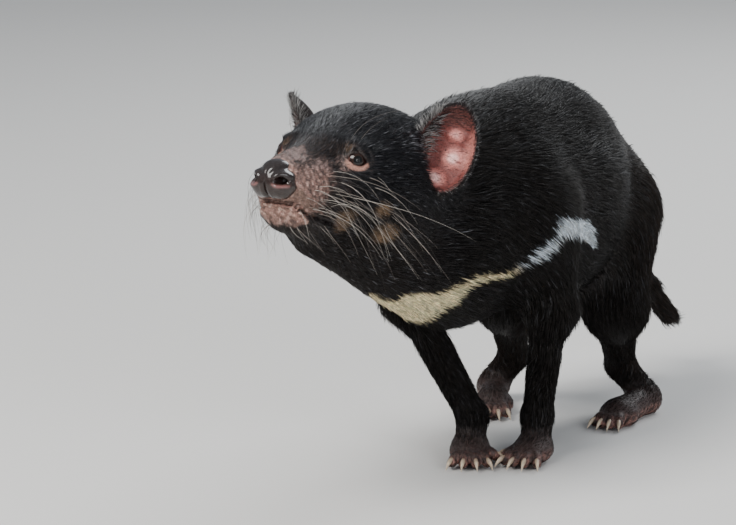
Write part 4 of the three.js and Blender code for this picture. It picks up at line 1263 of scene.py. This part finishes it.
# %% Growing tufts
def grow_tufts(root, normal, lie, length, width, lift, tone, bent):
    n = len(root)
    side = unit(np.cross(normal, lie))
    up0, up1 = np.sin(lift)[:, None], np.sin(lift * 0.25)[:, None]
    first = unit(lie * np.cos(lift)[:, None] + normal * up0)
    last = unit(lie + normal * up1)
    over = np.cross(side, first)
    over *= np.sign(dot(over, normal))[:, None]
    base = root - normal * 0.35 * width[:, None]
    half = 0.5 * width[:, None]
    ring = [base + side * half, base - side * half, base + over * half * 1.1]
    if bent:
        middle = base + first * length[:, None] * 0.5
        tip = middle + last * length[:, None] * 0.5
        ring += [middle + side * half * 0.75, middle - side * half * 0.75, middle + over * half * 0.85]
        # painted shade and light: a bent tuft is darker at its root and lighter at its tip
        shade = np.array([0.55, 0.55, 0.62, 0.95, 0.95, 1.0, 1.25])
        faces = [(0, 3, 4), (0, 4, 1), (1, 4, 5), (1, 5, 2), (2, 5, 3), (2, 3, 0), (3, 6, 4), (4, 6, 5), (5, 6, 3)]
    else:
        tip = base + unit(first + last) * length[:, None]
        # painted shade and light: a straight tuft is darker at its root and lighter at its tip
        shade = np.array([0.6, 0.6, 0.68, 1.25])
        faces = [(0, 3, 1), (1, 3, 2), (2, 3, 0)]
    ring.append(tip)
    k = len(ring)
    p = np.stack(ring, 1).reshape(-1, 3)
    f = (np.array(faces)[None] + (np.arange(n) * k)[:, None, None]).reshape(-1, 3)
    c = np.clip(tone[:, None] * shade[None, :, None], 0, 1).reshape(-1, 3)
    spot = np.zeros((k, 2))
    spot[:, 0] = np.resize([-0.0014, 0.0014, 0.0], k)
    spot[:, 1] = np.linspace(-0.0014, 0.0014, k)
    spot[-1] = (0.0, 0.0015)
    return p, f, c, spot


def locks(root, tip_way, length, cell, pull):
    """Leans the tufts of one small patch of coat towards each other."""
    key = np.floor((root + 0.35 * cell * np.stack([noise(root, 3 * cell, s) for s in (21, 22, 23)], 1)) / cell)
    key = key.astype(int)
    _, group = np.unique(key[:, 0] * 1000003 + key[:, 1] * 1009 + key[:, 2], return_inverse=True)
    number = np.bincount(group)
    end = root + tip_way * length[:, None]
    middle = np.stack([np.bincount(group, end[:, a]) / number for a in range(3)], 1)[group]
    return unit(tip_way + pull[:, None] * (middle - end) / length[:, None])


root_marks = marks(root)
lie = lie_of_coat(root, normal)
length, width, lift, _ = coat_style(root, root_marks, root_region)
length *= 0.75 + 0.5 * rng.random(len(root))
lift = np.clip(lift + 0.07 * rng.normal(size=len(root)), 0.04, 0.6)
stray = rng.random(len(root)) < 0.015
lift[stray] += 0.25
lie = unit(lie + 0.13 * np.cross(normal, lie) * rng.normal(size=(len(root), 1)))
lie = locks(root, lie, length, 4.5, np.full(len(root), 0.45) * (1 - 0.6 * root_marks["bare"]))
lie = unit(lie - dot(lie, normal)[:, None] * normal)
SHOWS_AT = 0.75  # how far along a tuft the place lies that gives its tone
over = root + SHOWS_AT * length[:, None] * lie
tone = coat_colours(over, marks(over))
along, turn = unrolled(root, root_region)
root_map = on_map(along, turn, root_region)
print("Tufts are from", round(float(length.min()), 1), "to", round(float(length.max()), 1), "mm long")

# %% [markdown]
# The coat is cut into pieces by where it grows, so that each stays light enough to bake: face, crown and
# throat, neck, shoulders, flanks, rump, tail, forelegs and hind legs.

# %% The pieces of the coat
head_y = to_head(root)[:, 1]
head_x = to_head(root)[:, 0]
names = ["coat_back_left", "coat_back_right", "coat_rump", "coat_shoulders", "coat_neck", "coat_head_left",
         "coat_head_right", "coat_face", "coat_tail", "coat_forelegs", "coat_hindlegs"]
left_of = np.where(root[:, 1] > HIP_Y, root[:, 0], np.hypot(HIP_Y - root[:, 1], root[:, 0] + RADIUS) - RADIUS)
piece_of = np.full(len(root), names.index("coat_back_left"))
for name, there in (  # a later line takes roots from the earlier ones
    ("coat_back_right", left_of < 0), ("coat_rump", root[:, 1] > 70), ("coat_shoulders", root[:, 1] < -60),
    ("coat_neck", root[:, 1] < -115), ("coat_head_left", (head_y < 30) & (head_x > 0)),
    ("coat_head_right", (head_y < 30) & (head_x <= 0)), ("coat_face", head_y < -55),
    ("coat_tail", root_region == TAIL), ("coat_forelegs", np.isin(root_region, (FORE_LEFT, FORE_RIGHT))),
    ("coat_hindlegs", np.isin(root_region, (HIND_LEFT, HIND_RIGHT))),
):
    piece_of[there] = names.index(name)
coat_finish = toned("coat", 0.42, 0.17, (260, 0.72, 1.28))[0]
coat_total = 0
for number, name in enumerate(names):
    pick = np.nonzero(piece_of == number)[0]
    bent = (rng.random(len(pick)) < 0.34) & (length[pick] > 5)
    chunks, base = [], 0
    for chosen, curve in ((pick[bent], True), (pick[~bent], False)):
        if not len(chosen):
            continue
        p, f, c, spot = grow_tufts(root[chosen], normal[chosen], lie[chosen], length[chosen], width[chosen],
                                   lift[chosen], tone[chosen], curve)
        uv = (root_map[chosen][:, None] + spot[None]).reshape(-1, 2)
        chunks.append((p, f + base, c, uv[f.ravel()]))
        base += len(p)
    p, f, c, uv = [np.concatenate(part) for part in zip(*chunks)]
    p[:, 2] = np.maximum(p[:, 2], 0.2)
    piece = make_piece(name, p, f.ravel(), np.arange(len(f)) * 3, coat_finish, c, np.clip(uv, 0, 1))
    coat_total += len(f)
    print(name, len(f), "triangles")
print("The coat has", coat_total, "triangles")

# %% [markdown]
# A few long, pale hairs grow out of the ears' front edges and a fringe of fine dark ones covers their rims
# and backs. These are placed on the ears' own mesh, in the same way as the rest of the coat.

# %% Hair of the ears
chunks, base = [], 0
for name, (p, f, local, spread, back, region, flat) in ear_parts.items():
    ear, s = EARS[name], EARS[name]["side"]
    around = point_normals(p, f)
    x, z = local[:, 0] * s, local[:, 2]
    front = ramp(-x, 9, 16) * ramp(z, -22, -10) * ~back
    top = ramp(z, 15, 25) * ~back
    rim = ramp(spread, 0.90, 0.98)
    dense = np.where(back, 1.9, 0.04 + 0.9 * front + 0.35 * top + 1.7 * rim)[f].mean(1)
    r, n, face = scatter(p, around, f, dense * THINNED)
    corner = f[face, 0]
    on_back, on_front, on_rim = back[corner], front[corner] > 0.3, rim[corner] > 0.4
    axes = ear_axes(ear)
    out = np.stack([local[corner, 0] / 22, np.zeros(len(corner)), local[corner, 2] / 32 + 0.5], 1)
    way = np.where((on_back | on_rim)[:, None], out, [0.85 * s, -0.10, 0.30]) @ axes.T
    way = unit(way + 0.22 * rng.normal(size=way.shape))
    way = unit(way - dot(way, n)[:, None] * n)
    size = np.where(on_back, 4.2, np.where(on_front, 9.5, np.where(on_rim, 4.0, 5.0)))
    size = size * (0.7 + 0.6 * rng.random(len(r)))
    lean = np.where(on_front, 0.28, np.where(on_rim, 0.35, 0.16))
    shade = np.tile([0.022, 0.017, 0.017], (len(r), 1)) * (0.6 + 0.8 * rng.random((len(r), 1)))
    silvery = on_front * (rng.random(len(r)) < 0.5) + on_rim * (rng.random(len(r)) < 0.10)
    shade = mix(shade, [0.34, 0.33, 0.32], np.minimum(silvery, 1) * 0.8)
    wide = np.where(on_front, 0.36, 0.34)
    q2, g, c, spot = grow_tufts(r, n, way, size, wide, lean, shade, True)
    place = on_map(*flat[corner].T, region[face])
    uv = (place[:, None] + spot[None]).reshape(-1, 2)
    chunks.append((q2, g + base, c, uv[g.ravel()]))
    base += len(q2)
p, f, c, uv = [np.concatenate(part) for part in zip(*chunks)]
ear_hair = make_piece("coat_ears", p, f.ravel(), np.arange(len(f)) * 3, coat_finish, c, np.clip(uv, 0, 1))
print("The ears' hair has", len(f), "triangles")

# %% [markdown]
# Whiskers grow in rows from the pad above the lip, with a few over the eye, on the cheek and under the chin.
# They sweep out, back and down in long curves and taper to nothing. Thin tubes show them better than single
# lines would.

# %% The whiskers
WHISKERS = [  # where they start on the head's left side: left, back and up, and how long they are
    (22, -84, -10, 74), (22.5, -88, -15, 92), (22.5, -93, -19, 84), (22.5, -98, -22, 66), (22, -103, -26, 48),
    (24, -84, -20, 112), (23.5, -90, -24, 106), (23, -96, -27, 90), (22.5, -101, -30, 66), (20, -107, -33, 46),
    (26, -80, -25, 118), (25, -86, -28, 108), (24, -92, -31, 88), (23, -98, -34, 62), (20, -105, -37, 40),
    (28, -76, -30, 84), (27, -81, -34, 72), (25, -88, -37, 58), (24, -95, -39, 44), (18, -108, -36, 34),
    (46, -44, -40, 72), (48, -42, -36, 84), (44, -40, -46, 60), (50, -44, -32, 66), (42, -46, -48, 50),
    (25, -70, 13, 58), (29, -63, 14, 42), (12, -104, -50, 30), (8, -108, -52, 26), (15, -98, -52, 36),
    (20, -92, -48, 38), (36, -60, -20, 44), (38, -56, -24, 56), (34, -64, -14, 38),
]


FAR_CHEEK, ROOM = -138, 12  # past the far cheek whiskers bend back along the head, to stay near the part's box


def whisker_line(side, start, long, number):
    left, back, up = start
    r = np.random.default_rng(100 + number * 2 + (side > 0))
    brow = up > 8
    jitter = 0 if brow else 1.6
    root = in_head(left * side, back + jitter * r.normal(), up + jitter * r.normal())
    root, out = slide(skin_field, root[None], 3, 3.0)
    out = out[0] @ HEAD_AXES
    first = unit(out * 0.8 + [0.25 * side, 0.30, 0.5 if brow else -0.05] + 0.16 * r.normal(size=3))
    droop = 0.25 if brow else r.uniform(-0.85, -0.30)
    later = unit(np.array([0.22 * side, 0.85, droop]) + 0.16 * r.normal(size=3))
    t = np.linspace(0, 1, 18)[:, None]
    turn_in = r.uniform(1.2, 2.4)
    way = unit(first * (1 - t) ** turn_in + later * (1 - (1 - t) ** turn_in) + [0, 0, -0.35] * t**2 * (not brow))
    line = np.cumsum(way, 0) * long * r.uniform(0.75, 1.1) / 18
    line = root[0] + (line - line[0]) @ HEAD_AXES.T
    far = np.maximum(FAR_CHEEK - line[:, 0], 0)
    line[:, 0] += far - ROOM * (1 - np.exp(-far / ROOM))
    return line


strands, strand_faces, strand_tones, base = [], [], [], 0
for side in (1, -1):
    for number in range(2 * len(WHISKERS)):
        left, back, up, long = WHISKERS[number % len(WHISKERS)]
        second = number >= len(WHISKERS)
        if second and up > 8:
            continue
        line = whisker_line(side, (left, back, up), long * (0.72 if second else 1.0), number)
        t = np.linspace(0, 1, len(line))
        thick = 0.08 if second or up > 8 else 0.135
        p, f = tube(line, thick * (1 - t) ** 0.8 + 0.03, 5)
        shade = [[0.46, 0.42, 0.37], [0.26, 0.22, 0.19], [0.045, 0.035, 0.030]][(number * 5 + (side > 0)) % 3]
        if up > 8:
            shade = [0.16, 0.14, 0.125]
        strands.append(p)
        strand_faces.append(f + base)
        strand_tones.append(np.tile(shade, (len(p), 1)))
        base += len(p)
strand_faces = np.concatenate(strand_faces)
whisker_finish = toned("whisker", 0.35, 0.5, (120, 0.85, 1.1))[0]
whiskers = make_piece("whiskers", np.concatenate(strands), strand_faces.ravel(), np.arange(len(strand_faces)) * 4,
                      whisker_finish, np.concatenate(strand_tones))
print("There are", len(strands), "whiskers")

# %% [markdown]
# The animal stands on a plain pale floor in soft light. A large light from the left and above the camera
# makes the wet shine on the nose and the glint in the eye, a lower one opens the shadows, and one from behind
# draws the edge of the dark coat.

# %% Floor and lights
def soft_light(name, place, target, size, power, colour):
    data = bpy.data.lights.new(name, "AREA")
    data.shape = "RECTANGLE"
    data.size, data.size_y = size
    data.energy = power
    data.color = colour
    light = bpy.data.objects.new(name, data)
    light.location = place
    way = np.array(target, float) - place
    yaw, pitch = math.atan2(way[0], way[1]), math.atan2(-way[2], math.hypot(way[0], way[1]))
    light.rotation_euler = (math.pi / 2 - pitch, 0, -yaw)
    bpy.context.scene.collection.objects.link(light)


floor_mesh = bpy.data.meshes.new("floor")
edge = 6.0
floor_mesh.from_pydata([(-edge, -edge, 0), (edge, -edge, 0), (edge, edge, 0), (-edge, edge, 0)], [], [(0, 1, 2, 3)])
floor = bpy.data.objects.new("floor", floor_mesh)
bpy.context.scene.collection.objects.link(floor)
floor_finish = new_material("pale_floor", 0.75, 0.2, Base_Color=(0.70, 0.69, 0.67, 1))[0]
floor_mesh.materials.append(floor_finish)
floor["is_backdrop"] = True
world = bpy.data.worlds.new("studio")
bpy.context.scene.world = world
world.use_nodes = True
world.node_tree.nodes["Background"].inputs["Color"].default_value = (0.80, 0.86, 0.95, 1)
world.node_tree.nodes["Background"].inputs["Strength"].default_value = 0.36
soft_light("key", (-0.8, -1.4, 2.1), (0, -0.1, 0.15), (1.3, 1.3), 82, (1.0, 0.98, 0.95))
soft_light("fill", (1.8, -1.6, 1.0), (0, 0, 0.15), (1.4, 1.0), 26, (0.95, 0.97, 1.0))
soft_light("rim", (0.6, 1.9, 1.6), (0, 0, 0.2), (1.4, 1.0), 36, (0.95, 0.98, 1.0))
print("The floor and three lights are set")

# %% [markdown]
# The camera looks at the animal's left front from 17 degrees to its side and 11 degrees above, from 3 m away
# through a long lens, which keeps the head's proportions as they are in life.

# %% The camera
PHOTO_WIDE = 736  # in the photo's own steps, which the framing below is counted in
aim = (MARK_AT + SHIFT) * 0.001
data = bpy.data.cameras.new("camera")
data.sensor_width = 36
data.lens = 1.36 * PHOTO_FROM * data.sensor_width / PHOTO_WIDE
data.shift_x = (368 - 480) / PHOTO_WIDE
data.shift_y = (250 - 262.5) / PHOTO_WIDE
camera = bpy.data.objects.new("camera", data)
camera.location = aim + PHOTO_FROM * 0.001 * ahead
camera.rotation_euler = (math.pi / 2 - ELEVATION, 0, AZIMUTH)
bpy.context.scene.collection.objects.link(camera)
bpy.context.scene.camera = camera
print("The lens is", round(data.lens), "mm")

# %% Print the sizes and finish
visual_box = [list(corner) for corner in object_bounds()]
print("The visual model spans", [[round(v, 3) for v in corner] for corner in visual_box])
